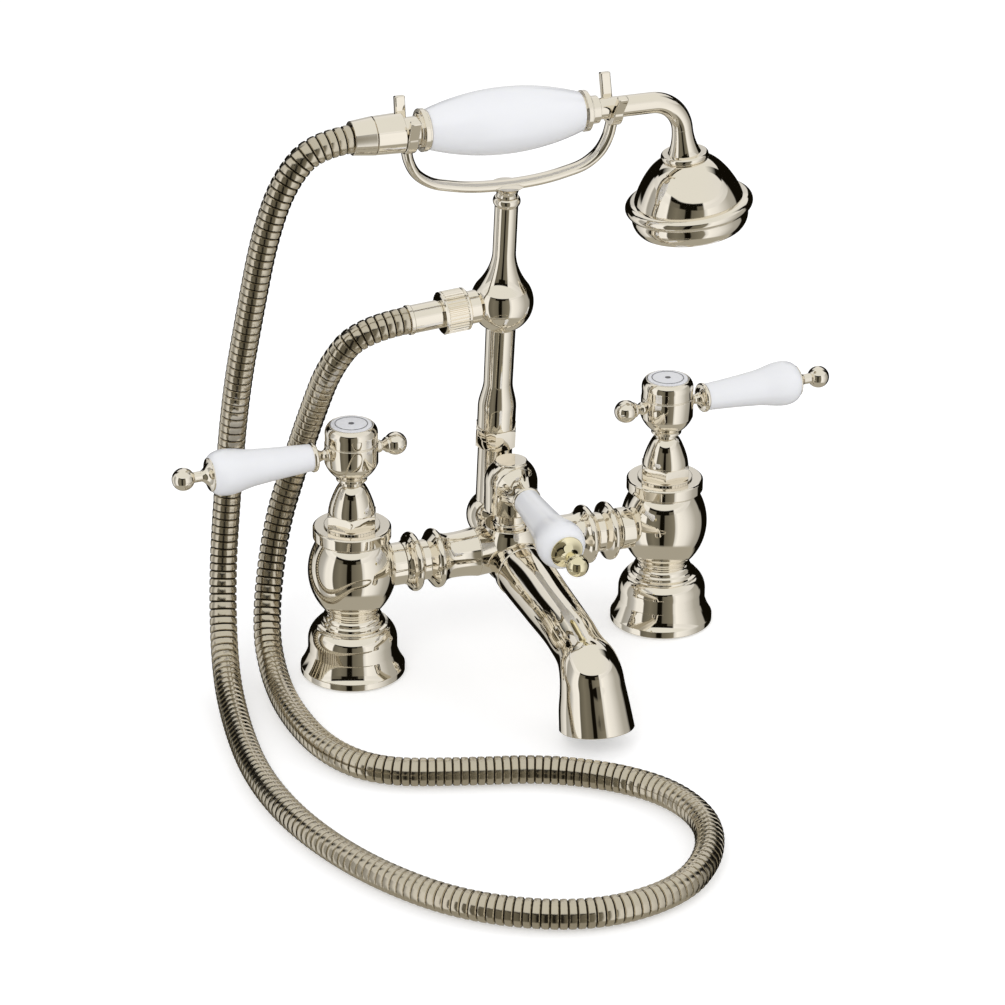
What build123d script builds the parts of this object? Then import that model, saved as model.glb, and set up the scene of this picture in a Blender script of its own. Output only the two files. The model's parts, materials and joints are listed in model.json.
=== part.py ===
from build123d import *
import os
from math import cos, radians, sin, sqrt, tan

# Bath shower mixer for two deck inlets. Lengths are millimetres, angles degrees.
# The origin lies on the deck, midway between the inlets. The spout points to -Y.

INLET_CENTRES = 180.0
OVERRUN = 1.0
RUN_GAP = 0.3
SLIP_GAP = 0.1
SIDES = {"hot": -1, "cold": 1}

# Bell base
BASE_R = 28.0
BASE_H = 35.0
BASE_WALL = 2.4
BASE_RIM_H = 4.6
BELL_R = 23.9
BELL_FOOT_H = 14.0
BELL_SHOULDER_H = 19.5
BELL_CROWN_SHARE = 0.09
BELL_BEAD_R = 17.2
BELL_BEAD_H = 1.2

# Pillar body
NECK_R = 15.2
NECK_L = 2.0
BALL_R = 23.6
BALL_L = 40.5
BALL_WIDE_SHARE = 0.55
FLANGE_ROOT_R = 18.2
FLANGE_R = 20.8
FLANGE_L = 8.2
FLANGE_LIP_L = 1.8
FLANGE_EDGE_R = 0.9
SHANK_R = 13.2
SOCKET_R = 9.3
SOCKET_L = 16.0
WATERWAY_R = 6.5
CHAMBER_R = 10.4
PILLAR_TOP = BASE_H + NECK_L + BALL_L + FLANGE_L

# Side arms, at one height, each turned with two beads; reaches count from the pillar's axis
ARM_H = 58.8
BRANCH_R = 11.4
BRANCH_REACH = 28.0
BRANCH_BORE_R = 7.0
ARM_SPIGOT_R = 9.0
ARM_SPIGOT_L = 8.0
ARM_BEAD_R = 15.2
ARM_GROOVE_R = 10.8
ARM_TUBE_R = 12.2
ARM_END_R = 13.3
BEAD_ONE_REACH = 33.7
BEAD_GROOVE_REACH = 39.6
BEAD_TWO_REACH = 46.6
BEAD_HALF_L = 1.9
ARM_TUBE_SHARE = 0.27
ARM_FLARE_SHARE = 0.12
BEAD_CREST_SHARE = 0.25
ARM_COVE_SHARE = 0.03
BODY_HALF_W = 21.0
SEAL_WIRE_R = 0.75
SEAL_GROOVE_DEPTH = 1.5

# Ceramic valves, alike for hot, cold and diverter; reaches count from the chamber's floor
VALVE_L = 35.2
DIVERTER_VALVE_L = 25.0
VALVE_FOOT_R = 9.9
VALVE_BODY_R = 9.4
VALVE_COLLAR_R = 12.2
VALVE_COLLAR_T = 1.4
VALVE_CUP_R = 8.3
VALVE_CUP_L = 13.0
VALVE_WINDOW_W = 9.0
VALVE_WINDOW_L = 4.6
VALVE_SEAL_T = 2.0
VALVE_SEAL_BORE_R = 6.0
DISC_R = 8.0
DISC_T = 2.8
DISC_PORT_R = 2.1
DISC_PORT_REACH = 4.2
DISC_CLOSED_TURN = 90.0
GLAND_R = 6.9
SPINDLE_R = 4.0
SPINDLE_DRIVER_R = 7.4
SPINDLE_DRIVER_T = 2.4
SPINDLE_TIP_R = 3.4
SPINDLE_TIP_L = 12.0

# Bonnet over each pillar
WASHER_R = 14.9
WASHER_T = 1.0
HEX_ACROSS = 25.0
HEX_L = 7.2
HEX_CHAMFER = 0.6
TULIP_R = 12.4
TULIP_WAIST_R = 10.9
TULIP_WAIST_H = 10.6
TULIP_L = 15.9
TULIP_TOP_R = 7.5
TULIP_CROWN_SHARE = 0.16
PILLAR_GLAND_L = 16.5

# Lever head on each pillar; reaches count from the lever's axis
LEVER_H = 128.5
HEAD_R = 14.2
HEAD_SLEEVE_R = 5.9
HEAD_SLEEVE_BELOW = 24.0
HEAD_COLLAR_R = 7.3
HEAD_COLLAR_BELOW = 16.4
HEAD_BOWL_BELOW = 15.0
HEAD_BOWL_SHARE = -0.17
HEAD_SIDE_BELOW = 4.5
HEAD_GROOVE_ABOVE = 4.6
HEAD_GROOVE_T = 0.7
HEAD_SHOULDER_ABOVE = 8.8
HEAD_CROWN_SHARE = -0.12
HEAD_RIM_R = 11.9
HEAD_ABOVE = 15.0
HEAD_SOCKET_ABOVE = 4.5
INDEX_R = 10.9
INDEX_T = 2.0
INDEX_PROUD = 0.4
SCREW_HEAD_R = 4.2
SCREW_HEAD_T = 3.0
SCREW_WEB_T = 2.6
SCREW_R = 2.0
SCREW_L = 8.0

# Levers; reaches count from the axis that the head turns on
HOT_LEVER_TURN = 182.9
COLD_LEVER_TURN = 3.9
STEM_TENON_R = 2.6
STEM_TENON_L = 5.0
STEM_FOOT_R = 4.0
STEM_WAIST_R = 2.7
STEM_WAIST_REACH = 17.0
STEM_COVE_SHARE = 0.2
STEM_FLARE_SHARE = 0.18
LEVER_COLLAR_R = 8.0
LEVER_COLLAR_T = 2.6
LEVER_COLLAR_REACH = 20.6
LEVER_BEVEL = 0.7
LEVER_ROD_R = 2.4
GRIP_NARROW_R = 7.2
GRIP_L = 55.3
GRIP_SWELL_R = 12.1
GRIP_SWELL_SHARE = 0.865
GRIP_FLARE_R = 9.6
GRIP_FLARE_SHARE = 0.57
GRIP_FOOT_SHARE = 0.06
GRIP_END_SHARE = 0.5
TIP_CAP_R = 8.8
TIP_CAP_EDGE = 0.7
TIP_CAP_L = 5.0
TIP_COVE_SHARE = 0.12
TIP_NECK_R = 2.8
TIP_BALL_R = 6.0
TIP_BALL_REACH = 14.8
TIP_SOCKET_L = 4.0
FINIAL_REACH = 24.9
FINIAL_BALL_R = 6.2
FINIAL_FOOT_R = 3.4
FINIAL_BEAD_L = 2.8
FINIAL_BEAD_SHARE = 0.35
FINIAL_WAIST_R = 2.3
FINIAL_CONE_R = 4.2
FINIAL_CONE_L = 2.4

# Cross body: a round core, a barrel between the arms, a stub for the spout, a neck to the rear
CORE_R = 16.6
CORE_WIDE_H = 54.5
CORE_TOP_R = 14.0
CORE_TOP = 72.6
CORE_RECESS_L = 3.4
CORE_FOOT_R = 9.0
CORE_FOOT = 40.2
BARREL_COVE_SHARE = 0.02
NECK_BACK_H = 63.0
NECK_BACK_R = 9.8
NECK_BACK_REACH = 17.5

# Spout, with its sections from root to mouth as shares
SPOUT_ROOT_H = 54.2
SPOUT_DIP = 5.6
SPOUT_STUB_R = 14.6
SPOUT_STUB_REACH = 16.4
SPOUT_SPIGOT_R = 9.6
SPOUT_SPIGOT_L = 8.0
SPOUT_WALL = 2.2
SPOUT_COLLAR_R = 15.4
SPOUT_COLLAR_L = 5.0
SPOUT_ROOT_R = 14.8
SPOUT_THROAT_R = 13.4
SPOUT_REACH = 123.4
SPOUT_MOUTH_H = 9.8
SPOUT_MOUTH_R = 19.6
SPOUT_SHARES = (
    (0.06, 0.952, 5.6, 0.24),
    (0.35, 0.885, 5.6, 0.11),
    (0.66, 0.808, 7.0, 0.0),
    (0.79, 0.722, 24.0, 0.03),
    (0.88, 0.560, 47.0, 0.32),
    (0.945, 0.330, 65.0, 0.68),
    (1.0, 0.0, 79.0, 1.0),
)
STRAIGHTENER_R = 14.6
STRAIGHTENER_L = 7.0
STRAIGHTENER_RIM = 1.4
STRAIGHTENER_VANE = 0.9
STRAIGHTENER_PITCH = 5.2
STRAIGHTENER_LIFT = 8.0

# Diverter head and its lever
DIVERTER_NECK_R = 8.6
DIVERTER_NECK_L = 9.8
DIVERTER_NECK_TOP = CORE_TOP + DIVERTER_NECK_L
DIVERTER_LAP = 1.4
DIVERTER_HEAD_R = 14.3
DIVERTER_DOME_RISE = 24.4
DIVERTER_DOME_H = CORE_TOP + DIVERTER_DOME_RISE
DIVERTER_CROWN_TURN = 45.0
DIVERTER_BUTTON_R = 8.8
DIVERTER_BUTTON_T = 1.2
DIVERTER_BUTTON_H = DIVERTER_DOME_H + sqrt(DIVERTER_HEAD_R**2 - DIVERTER_BUTTON_R**2)
DIVERTER_WALL = 2.4
DIVERTER_GLAND_L = 7.0
DIVERTER_SOCKET_RISE = 3.0
DIVERTER_SOCKET_H = DIVERTER_DOME_H + DIVERTER_SOCKET_RISE
DIVERTER_DIP = 4.9
DIVERTER_BOSS_R = 11.8
DIVERTER_BOSS_REACH = 9.0
DIVERTER_CONE_R = 7.0
DIVERTER_CONE_SHARE = 0.05
DIVERTER_COLLAR_REACH = 21.2
DIVERTER_GRIP_R = 12.9

# Riser and column, one straight line leaning towards the bath; reaches count from the elbow
RISER_BACK = 27.2
ELBOW_H = 66.0
RISER_LEAN = 5.1
ELBOW_R = 14.0
RISER_R = 9.3
RISER_BORE_R = 5.5
RISER_SPIGOT_R = 7.8
RISER_SPIGOT_L = 5.0
UNION_LIFT = 0.53
UNION_LOW = DIVERTER_BUTTON_H + DIVERTER_BUTTON_T + UNION_LIFT - ELBOW_H
UNION_L = 11.2
UNION_ACROSS = 21.2
UNION_WALL_R = 8.4
UNION_THREAD_L = 5.0
COLUMN_TAIL_R = 7.0
COLUMN_FOOT_R = 10.3
COLUMN_FOOT_L = 11.3
COLUMN_SHOULDER_REACH = UNION_LOW + UNION_L + COLUMN_FOOT_L
COLUMN_SHOULDER_L = 15.0
COLUMN_WAIST_REACH = COLUMN_SHOULDER_REACH + COLUMN_SHOULDER_L
COLUMN_WAIST_R = 7.8
TEE_RISE = 47.5
TEE_REACH = COLUMN_WAIST_REACH + TEE_RISE
TEE_R = 16.8
TEE_THROAT_R = 8.0
TEE_CROWN_TURN = 32.0
TEE_FLAME_L = 29.0
TEE_FLAME_REACH = TEE_REACH + TEE_FLAME_L
COLUMN_TOP_R = 6.2
COLUMN_NECK_L = 26.8
COLUMN_TOP_REACH = TEE_FLAME_REACH + COLUMN_NECK_L
COLUMN_LIP_R = 7.3
COLUMN_LIP_L = 5.0

# Side outlet for the hose
OUTLET_DIP = 4.0
OUTLET_NECK_R = 8.8
OUTLET_NECK_REACH = 20.2
OUTLET_BORE_R = 4.4
OUTLET_SPIGOT_R = 8.6
OUTLET_SPIGOT_L = 7.0
KNURL_R = 11.4
KNURL_L = 14.6
KNURL_COUNT = 36
KNURL_CUT_R = 0.6
KNURL_LIP_L = 1.6
KNURL_EDGE = 0.5
HOSE_WASHER_T = 1.5
TAIL_THROAT_R = 6.6
TAIL_R = 7.5
TAIL_L = 18.4
TAIL_LIP_R = 8.0
TAIL_LIP_L = 2.4
TAIL_HEAD_L = 2.0

# Cradle on top of the column; reaches and rises run along the column's line
CRADLE_PIN_R = 3.4
CRADLE_PIN_L = 12.0
CRADLE_NECK_R = 5.8
CRADLE_NECK_TOP_R = 8.6
CRADLE_NECK_SHARE = 0.12
CRADLE_BAR_RISE = 6.6
CRADLE_BAR_REACH = COLUMN_TOP_REACH + COLUMN_LIP_L + CRADLE_BAR_RISE
CRADLE_BAR_HALF_T = 2.8
CRADLE_BAR_HALF_W = 4.2
CRADLE_FLAT_HALF = 29.0
CRADLE_FLAT_RISE = 3.0
CRADLE_BEND_OUT = 8.6
CRADLE_BEND_RISE = 8.6
CRADLE_CORNER_OUT = 51.0
CRADLE_CORNER_RISE = 18.6
FORK_OUT = 56.8
FORK_W = 5.6
FORK_T = 3.4
FORK_LAP = 0.7
FORK_TIP_OUT = 12.4
FORK_REAR_RISE = 13.0
FORK_FRONT_RISE = 9.0
FORK_GAP = 0.3

# Handset; outs count from the middle of the cradle, along the handset
HANDSET_RISE = 36.6
HANDSET_REACH = CRADLE_BAR_REACH + HANDSET_RISE
INLET_OUT = 75.2
INLET_END_R = 10.0
INLET_SHOULDER_R = 10.5
INLET_SHOULDER_OUT = 60.0
HANDSET_NECK_R = 7.6
HANDSET_TUBE_R = 5.4
HANDSET_BORE_R = 3.6
COLLAR_OUT = 51.2
COLLAR_R = 11.2
COLLAR_STEP_R = 9.0
COLLAR_L = 5.0
COLLAR_STEP_L = 1.2
HANDGRIP_L = 84.6
HANDGRIP_R = 17.3
HANDGRIP_END_R = 10.4
COLLAR_HEAD_R = 10.8
ARM_BOSS_R = 7.3
ARM_BOSS_L = 4.6
SHOWER_ARM_R = 5.6
SHOWER_ARM_WALL = 1.2
BEND_START = 79.0
BEND_R = 18.0
BEND_TURN = 83.0
TRUMPET_L = 14.5
TRUMPET_R = 9.2
TRUMPET_SHARE = 0.06

# Rose; drops count along its own axis from the end of the arm's bend
ROSE_RING_R = 11.8
ROSE_RING_LOW = 13.6
ROSE_RING_HIGH = 17.2
ROSE_RING_SHARE = 0.25
ROSE_WALL = 1.6
DOME_TOP_R = 12.2
DOME_CROWN_SHARE = 0.12
DOME_SHOULDER_R = 25.8
DOME_SHOULDER_DROP = 24.5
DOME_SKIRT_R = 29.2
RIM_R = 34.0
RIM_DROP = 43.0
RIM_HALF_T = 3.2
BOWL_CROWN_SHARE = 0.14
ROSE_FACE_R = 26.6
ROSE_FACE_DROP = 56.0
FACE_PLATE_T = 2.0
FACE_SET_IN = 1.6
NOZZLE_R = 0.9
NOZZLE_COUNTS = (1, 8, 16, 22)
NOZZLE_RING_STEP = 7.2

# Hose nut at the handset
NUT_R = 10.05
NUT_END_R = 8.8
NUT_L = 11.4
NUT_GAP = 0.4
NUT_THREAD_L = 3.0
NUT_SPIGOT_R = 8.3

# Ribbed metal hose, as the free line that it lies in, from the handset round the deck and back up
HOSE_R = 7.3
HOSE_GROOVE_R = 6.6
HOSE_BORE_R = 4.4
HOSE_LEAD = 26.0
HOSE_BEND_SHARE = 0.44
HOSE_RIBS = 190
HOSE_RIB_SHARES = (0.06, 0.26, 0.74, 0.94)
HOSE_POINTS = (
    (-121.5, 9.5, 279),
    (-131.5, 12.5, 249),
    (-138, 17, 210),
    (-145, 24, 160),
    (-149, 29, 104),
    (-155, 23, 55),
    (-163, -4, 15),
    (-173, -55, 8),
    (-180, -113, 8),
    (-175, -168, 8),
    (-157, -222, 8),
    (-126, -268, 8),
    (-76, -296, 8),
    (-27, -290, 8),
    (3, -262, 8),
    (16, -226, 8),
    (5, -187, 8),
    (-34, -154, 8),
    (-80, -141, 8),
    (-120, -127, 8),
    (-138, -97, 8),
    (-142, -52, 8),
    (-137, -7, 8),
    (-133, 19, 26),
    (-121, 36, 72),
    (-109, 37, 108),
    (-101, 31, 139),
    (-94, 22, 168),
)


def half_plane(origin, along, across):
    """The plane that a turned piece is drawn in: local X is its radius, local Y its axis."""
    across = Vector(across).normalized()
    along = Vector(along).normalized()
    return Plane(origin=origin, x_dir=across, z_dir=across.cross(along))


def spin(plane, mode=Mode.ADD):
    revolve(axis=Axis(plane.origin, plane.y_dir), mode=mode)


def band(inner, outer, low, high, mode=Mode.ADD):
    """A rectangle in a half plane, which turns into a ring or a drum."""
    with Locations(((inner + outer) / 2, (low + high) / 2)):
        Rectangle(outer - inner, high - low, mode=mode)


def bow(start, end, share):
    """An arc as high as a share of its chord; a positive share bulges to the left of its way."""
    return SagittaArc(start, end, share * (Vector(*end) - Vector(*start)).length)


def drum(plane, inner, outer, low, high, mode=Mode.ADD):
    with BuildSketch(plane) as profile:
        band(inner, outer, low, high)
    revolve(profile.sketch, axis=Axis(plane.origin, plane.y_dir), mode=mode)


def upright(x, y, height):
    """Half plane of a piece whose axis stands upright at x, y; heights count from height."""
    return half_plane((x, y, height), (0, 0, 1), (1, 0, 0))


def section_plane(plane, reach):
    """The plane square to a turned piece's axis, at a distance along it."""
    return Plane(origin=plane.origin + plane.y_dir * reach, x_dir=plane.x_dir, z_dir=plane.y_dir)


def inlet_x(side):
    return SIDES[side] * INLET_CENTRES / 2


def arm_plane(side):
    """Half plane of an arm: its axis runs from the pillar towards the middle of the mixer."""
    return half_plane((inlet_x(side), 0, ARM_H), (-SIDES[side], 0, 0), (0, 0, 1))


def lever_plane(name):
    if name == "diverter":
        dip = radians(DIVERTER_DIP)
        return half_plane((0, 0, DIVERTER_DOME_H), (0, -cos(dip), -sin(dip)), (1, 0, 0))
    turn = radians({"hot": HOT_LEVER_TURN, "cold": COLD_LEVER_TURN}[name])
    return half_plane((inlet_x(name), 0, LEVER_H), (cos(turn), sin(turn), 0), (0, 0, 1))


def column_plane():
    lean = radians(RISER_LEAN)
    return half_plane((0, RISER_BACK, ELBOW_H), (0, -sin(lean), cos(lean)), (1, 0, 0))


def outlet_plane():
    dip = radians(OUTLET_DIP)
    centre = section_plane(column_plane(), TEE_REACH).origin
    return half_plane(centre, (-cos(dip), 0, -sin(dip)), (0, 0, 1))


def handset_plane():
    centre = section_plane(column_plane(), HANDSET_REACH).origin
    return half_plane(centre, (1, 0, 0), (0, 0, 1))


def rose_plane():
    """Half plane of the rose: its axis runs down from the end of the shower arm's bend."""
    turn = radians(BEND_TURN)
    out = BEND_START + BEND_R * sin(turn)
    drop = BEND_R * (1 - cos(turn))
    end = handset_plane().origin + Vector(out, 0, -drop)
    return half_plane(end, (cos(turn), 0, -sin(turn)), (sin(turn), 0, cos(turn)))


def bell_base(side):
    plane = upright(inlet_x(side), 0, 0)
    inner_foot_r = BASE_R - BASE_WALL
    inner_bell_r = BELL_R - BASE_WALL
    hole_r = SHANK_R + SLIP_GAP
    crown_low = BASE_H - BASE_WALL
    with BuildPart() as base:
        with BuildSketch(plane):
            with BuildLine():
                Line((inner_foot_r, 0), (BASE_R, 0))
                Line((BASE_R, 0), (BASE_R, BASE_RIM_H))
                bow((BASE_R, BASE_RIM_H), (BELL_R, BELL_FOOT_H), BELL_CROWN_SHARE / 2)
                Line((BELL_R, BELL_FOOT_H), (BELL_R, BELL_SHOULDER_H))
                bow((BELL_R, BELL_SHOULDER_H), (NECK_R, BASE_H), -BELL_CROWN_SHARE)
                Line((NECK_R, BASE_H), (hole_r, BASE_H))
                Line((hole_r, BASE_H), (hole_r, crown_low))
                bow((hole_r, crown_low), (inner_bell_r, BELL_SHOULDER_H), BELL_CROWN_SHARE)
                Line((inner_bell_r, BELL_SHOULDER_H), (inner_bell_r, BELL_FOOT_H))
                Line((inner_bell_r, BELL_FOOT_H), (inner_foot_r, BASE_RIM_H))
                Line((inner_foot_r, BASE_RIM_H), (inner_foot_r, 0))
            make_face()
            band(hole_r, BELL_BEAD_R, BASE_H - 2 * BELL_BEAD_H, BASE_H - BELL_BEAD_H)
        spin(plane)
    return base.part


def pillar(side):
    plane = upright(inlet_x(side), 0, 0)
    branch = arm_plane(side)
    neck_top = BASE_H + NECK_L
    ball_top = neck_top + BALL_L
    wide_h = neck_top + BALL_L * BALL_WIDE_SHARE
    seat_h = PILLAR_TOP - VALVE_L
    lip_h = ball_top + FLANGE_LIP_L
    with BuildPart() as body:
        with BuildSketch(plane):
            with BuildLine():
                Polyline((0, 0), (SHANK_R, 0), (SHANK_R, BASE_H),
                         (NECK_R, BASE_H), (NECK_R, neck_top))
                ThreePointArc((NECK_R, neck_top), (BALL_R, wide_h), (FLANGE_ROOT_R, ball_top))
                Polyline((FLANGE_ROOT_R, ball_top), (FLANGE_R, lip_h),
                         (FLANGE_R, PILLAR_TOP - FLANGE_EDGE_R))
                bow((FLANGE_R, PILLAR_TOP - FLANGE_EDGE_R),
                    (FLANGE_R - FLANGE_EDGE_R, PILLAR_TOP), -(sqrt(2) - 1) / 2)
                Polyline((FLANGE_R - FLANGE_EDGE_R, PILLAR_TOP), (0, PILLAR_TOP), (0, 0))
            make_face()
        spin(plane)
        drum(branch, 0, BRANCH_R, 0, BRANCH_REACH)
        drum(plane, 0, CHAMBER_R, seat_h, PILLAR_TOP + OVERRUN, Mode.SUBTRACT)
        drum(plane, 0, WATERWAY_R, 0, seat_h + OVERRUN, Mode.SUBTRACT)
        drum(plane, 0, SOCKET_R, 0, SOCKET_L, Mode.SUBTRACT)
        drum(branch, 0, BRANCH_BORE_R, 0, BRANCH_REACH + OVERRUN, Mode.SUBTRACT)
        drum(branch, 0, ARM_SPIGOT_R + SLIP_GAP, BRANCH_REACH - ARM_SPIGOT_L - SLIP_GAP,
             BRANCH_REACH + OVERRUN, Mode.SUBTRACT)
    return body.part


def side_arm(side):
    plane = arm_plane(side)
    end = INLET_CENTRES / 2 - BODY_HALF_W
    root = BRANCH_REACH
    groove_mid = BRANCH_REACH - ARM_SPIGOT_L / 2
    bead_one = BEAD_ONE_REACH - BEAD_HALF_L, BEAD_ONE_REACH + BEAD_HALF_L
    valley = BEAD_GROOVE_REACH - BEAD_HALF_L, BEAD_GROOVE_REACH + BEAD_HALF_L
    bead_two = BEAD_TWO_REACH - BEAD_HALF_L, BEAD_TWO_REACH + BEAD_HALF_L
    tube = bead_two[1] + ARM_TUBE_SHARE * (end - bead_two[1])
    with BuildPart() as arm:
        with BuildSketch(plane):
            with BuildLine():
                Polyline((0, root - ARM_SPIGOT_L), (ARM_SPIGOT_R, root - ARM_SPIGOT_L),
                         (ARM_SPIGOT_R, root), (BRANCH_R, root))
                bow((BRANCH_R, root), (ARM_BEAD_R, bead_one[0]), ARM_FLARE_SHARE)
                bow((ARM_BEAD_R, bead_one[0]), (ARM_BEAD_R, bead_one[1]), -BEAD_CREST_SHARE)
                Polyline((ARM_BEAD_R, bead_one[1]), (ARM_GROOVE_R, valley[0]),
                         (ARM_GROOVE_R, valley[1]), (ARM_BEAD_R, bead_two[0]))
                bow((ARM_BEAD_R, bead_two[0]), (ARM_BEAD_R, bead_two[1]), -BEAD_CREST_SHARE)
                bow((ARM_BEAD_R, bead_two[1]), (ARM_TUBE_R, tube), ARM_FLARE_SHARE)
                bow((ARM_TUBE_R, tube), (ARM_END_R, end), ARM_COVE_SHARE)
                Polyline((ARM_END_R, end), (0, end), (0, root - ARM_SPIGOT_L))
            make_face()
            band(ARM_SPIGOT_R - SEAL_GROOVE_DEPTH, ARM_SPIGOT_R + OVERRUN,
                 groove_mid - SEAL_GROOVE_DEPTH / 2, groove_mid + SEAL_GROOVE_DEPTH / 2, Mode.SUBTRACT)
        spin(plane)
        drum(plane, 0, BRANCH_BORE_R, 0, end + OVERRUN, Mode.SUBTRACT)
    return arm.part


def valve(plane, length, gland_l):
    """A ceramic valve's brass body; the plane stands on the floor of its chamber."""
    window_mid = VALVE_SEAL_T + VALVE_CUP_L - VALVE_WINDOW_L / 2
    window = section_plane(plane, window_mid)
    with BuildPart() as body:
        with BuildSketch(plane):
            band(0, VALVE_FOOT_R, VALVE_SEAL_T, VALVE_SEAL_T + VALVE_CUP_L)
            band(0, VALVE_BODY_R, VALVE_SEAL_T + VALVE_CUP_L, length)
            band(0, VALVE_COLLAR_R, length, length + VALVE_COLLAR_T)
            band(0, GLAND_R, length + VALVE_COLLAR_T, length + VALVE_COLLAR_T + gland_l)
        spin(plane)
        drum(plane, 0, VALVE_CUP_R, 0, VALVE_SEAL_T + VALVE_CUP_L, Mode.SUBTRACT)
        drum(plane, 0, SPINDLE_R + SLIP_GAP, 0, length + VALVE_COLLAR_T + gland_l + OVERRUN,
             Mode.SUBTRACT)
        with BuildSketch(window):
            Rectangle(2 * VALVE_BODY_R + 2 * OVERRUN, VALVE_WINDOW_W)
            Rectangle(VALVE_WINDOW_W, 2 * VALVE_BODY_R + 2 * OVERRUN)
        extrude(amount=VALVE_WINDOW_L / 2, both=True, mode=Mode.SUBTRACT)
    return body.part


def ported_disc(plane, low, turn):
    """A ceramic disc with two round ports."""
    with BuildSketch(section_plane(plane, low)) as face:
        Circle(DISC_R)
        with PolarLocations(DISC_PORT_REACH, 2, start_angle=turn):
            Circle(DISC_PORT_R, mode=Mode.SUBTRACT)
    extrude(face.sketch, amount=DISC_T)


def moving_disc(plane):
    """The disc that turns with the spindle, a quarter turn from open."""
    with BuildPart() as disc:
        ported_disc(plane, VALVE_SEAL_T + DISC_T, DISC_CLOSED_TURN)
    return disc.part


def spindle(plane, top):
    low = VALVE_SEAL_T + 2 * DISC_T
    tip_foot = top - SPINDLE_TIP_L
    with BuildPart() as body:
        with BuildSketch(plane):
            band(0, SPINDLE_DRIVER_R, low, low + SPINDLE_DRIVER_T)
            band(0, SPINDLE_R, low + SPINDLE_DRIVER_T, tip_foot)
            band(0, SPINDLE_TIP_R, tip_foot, top)
            band(0, SCREW_R, top - SCREW_L, top, Mode.SUBTRACT)
        spin(plane)
    return body.part


def pillar_valve_plane(side):
    return upright(inlet_x(side), 0, PILLAR_TOP - VALVE_L)


def diverter_valve_plane():
    return upright(0, 0, CORE_TOP - CORE_RECESS_L - DIVERTER_VALVE_L)


def seals():
    """Rubber rings on the arms' spigots and under the three valves."""
    with BuildPart() as rings:
        for side in SIDES:
            plane = arm_plane(side)
            with BuildSketch(plane):
                with Locations((ARM_SPIGOT_R + SLIP_GAP - SEAL_WIRE_R, BRANCH_REACH - ARM_SPIGOT_L / 2)):
                    Circle(SEAL_WIRE_R)
            spin(plane)
            drum(pillar_valve_plane(side), VALVE_SEAL_BORE_R, VALVE_FOOT_R, 0, VALVE_SEAL_T)
        drum(diverter_valve_plane(), VALVE_SEAL_BORE_R, VALVE_FOOT_R, 0, VALVE_SEAL_T)
    return rings.part


def fixed_discs():
    """The ceramic discs that stay still in the three valves."""
    with BuildPart() as discs:
        for side in SIDES:
            ported_disc(pillar_valve_plane(side), VALVE_SEAL_T, 0)
        ported_disc(diverter_valve_plane(), VALVE_SEAL_T, 0)
    return discs.part


def washers():
    """Flat rings under the bonnets, in the union nut and in the knurled nut."""
    union = UNION_LOW + UNION_THREAD_L
    outlet = OUTLET_NECK_REACH + OUTLET_SPIGOT_L
    with BuildPart() as rings:
        for side in SIDES:
            drum(upright(inlet_x(side), 0, PILLAR_TOP), VALVE_COLLAR_R + SLIP_GAP, WASHER_R, 0, WASHER_T)
        drum(column_plane(), RISER_BORE_R, UNION_WALL_R, union, union + HOSE_WASHER_T)
        drum(outlet_plane(), OUTLET_BORE_R, OUTLET_SPIGOT_R, outlet, outlet + HOSE_WASHER_T)
    return rings.part


def bonnet(side):
    plane = upright(inlet_x(side), 0, PILLAR_TOP)
    hex_top = WASHER_T + HEX_L
    top = hex_top + TULIP_L
    waist_h = hex_top + TULIP_WAIST_H
    gland_top = VALVE_COLLAR_T + PILLAR_GLAND_L
    with BuildPart() as body:
        with BuildSketch(section_plane(plane, WASHER_T)):
            RegularPolygon(HEX_ACROSS / 2, 6, major_radius=False)
        extrude(amount=HEX_L)
        chamfer(body.edges().group_by(Axis.Z)[-1], HEX_CHAMFER)
        with BuildSketch(plane):
            with BuildLine():
                Polyline((0, hex_top), (TULIP_R, hex_top), (TULIP_WAIST_R, waist_h))
                bow((TULIP_WAIST_R, waist_h), (TULIP_TOP_R, top), -TULIP_CROWN_SHARE)
                Polyline((TULIP_TOP_R, top), (0, top), (0, hex_top))
            make_face()
        spin(plane)
        drum(plane, 0, VALVE_COLLAR_R + SLIP_GAP, 0, VALVE_COLLAR_T, Mode.SUBTRACT)
        drum(plane, 0, GLAND_R + SLIP_GAP, 0, gland_top, Mode.SUBTRACT)
        drum(plane, 0, HEAD_SLEEVE_R + RUN_GAP, 0, top + OVERRUN, Mode.SUBTRACT)
    return body.part


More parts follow.
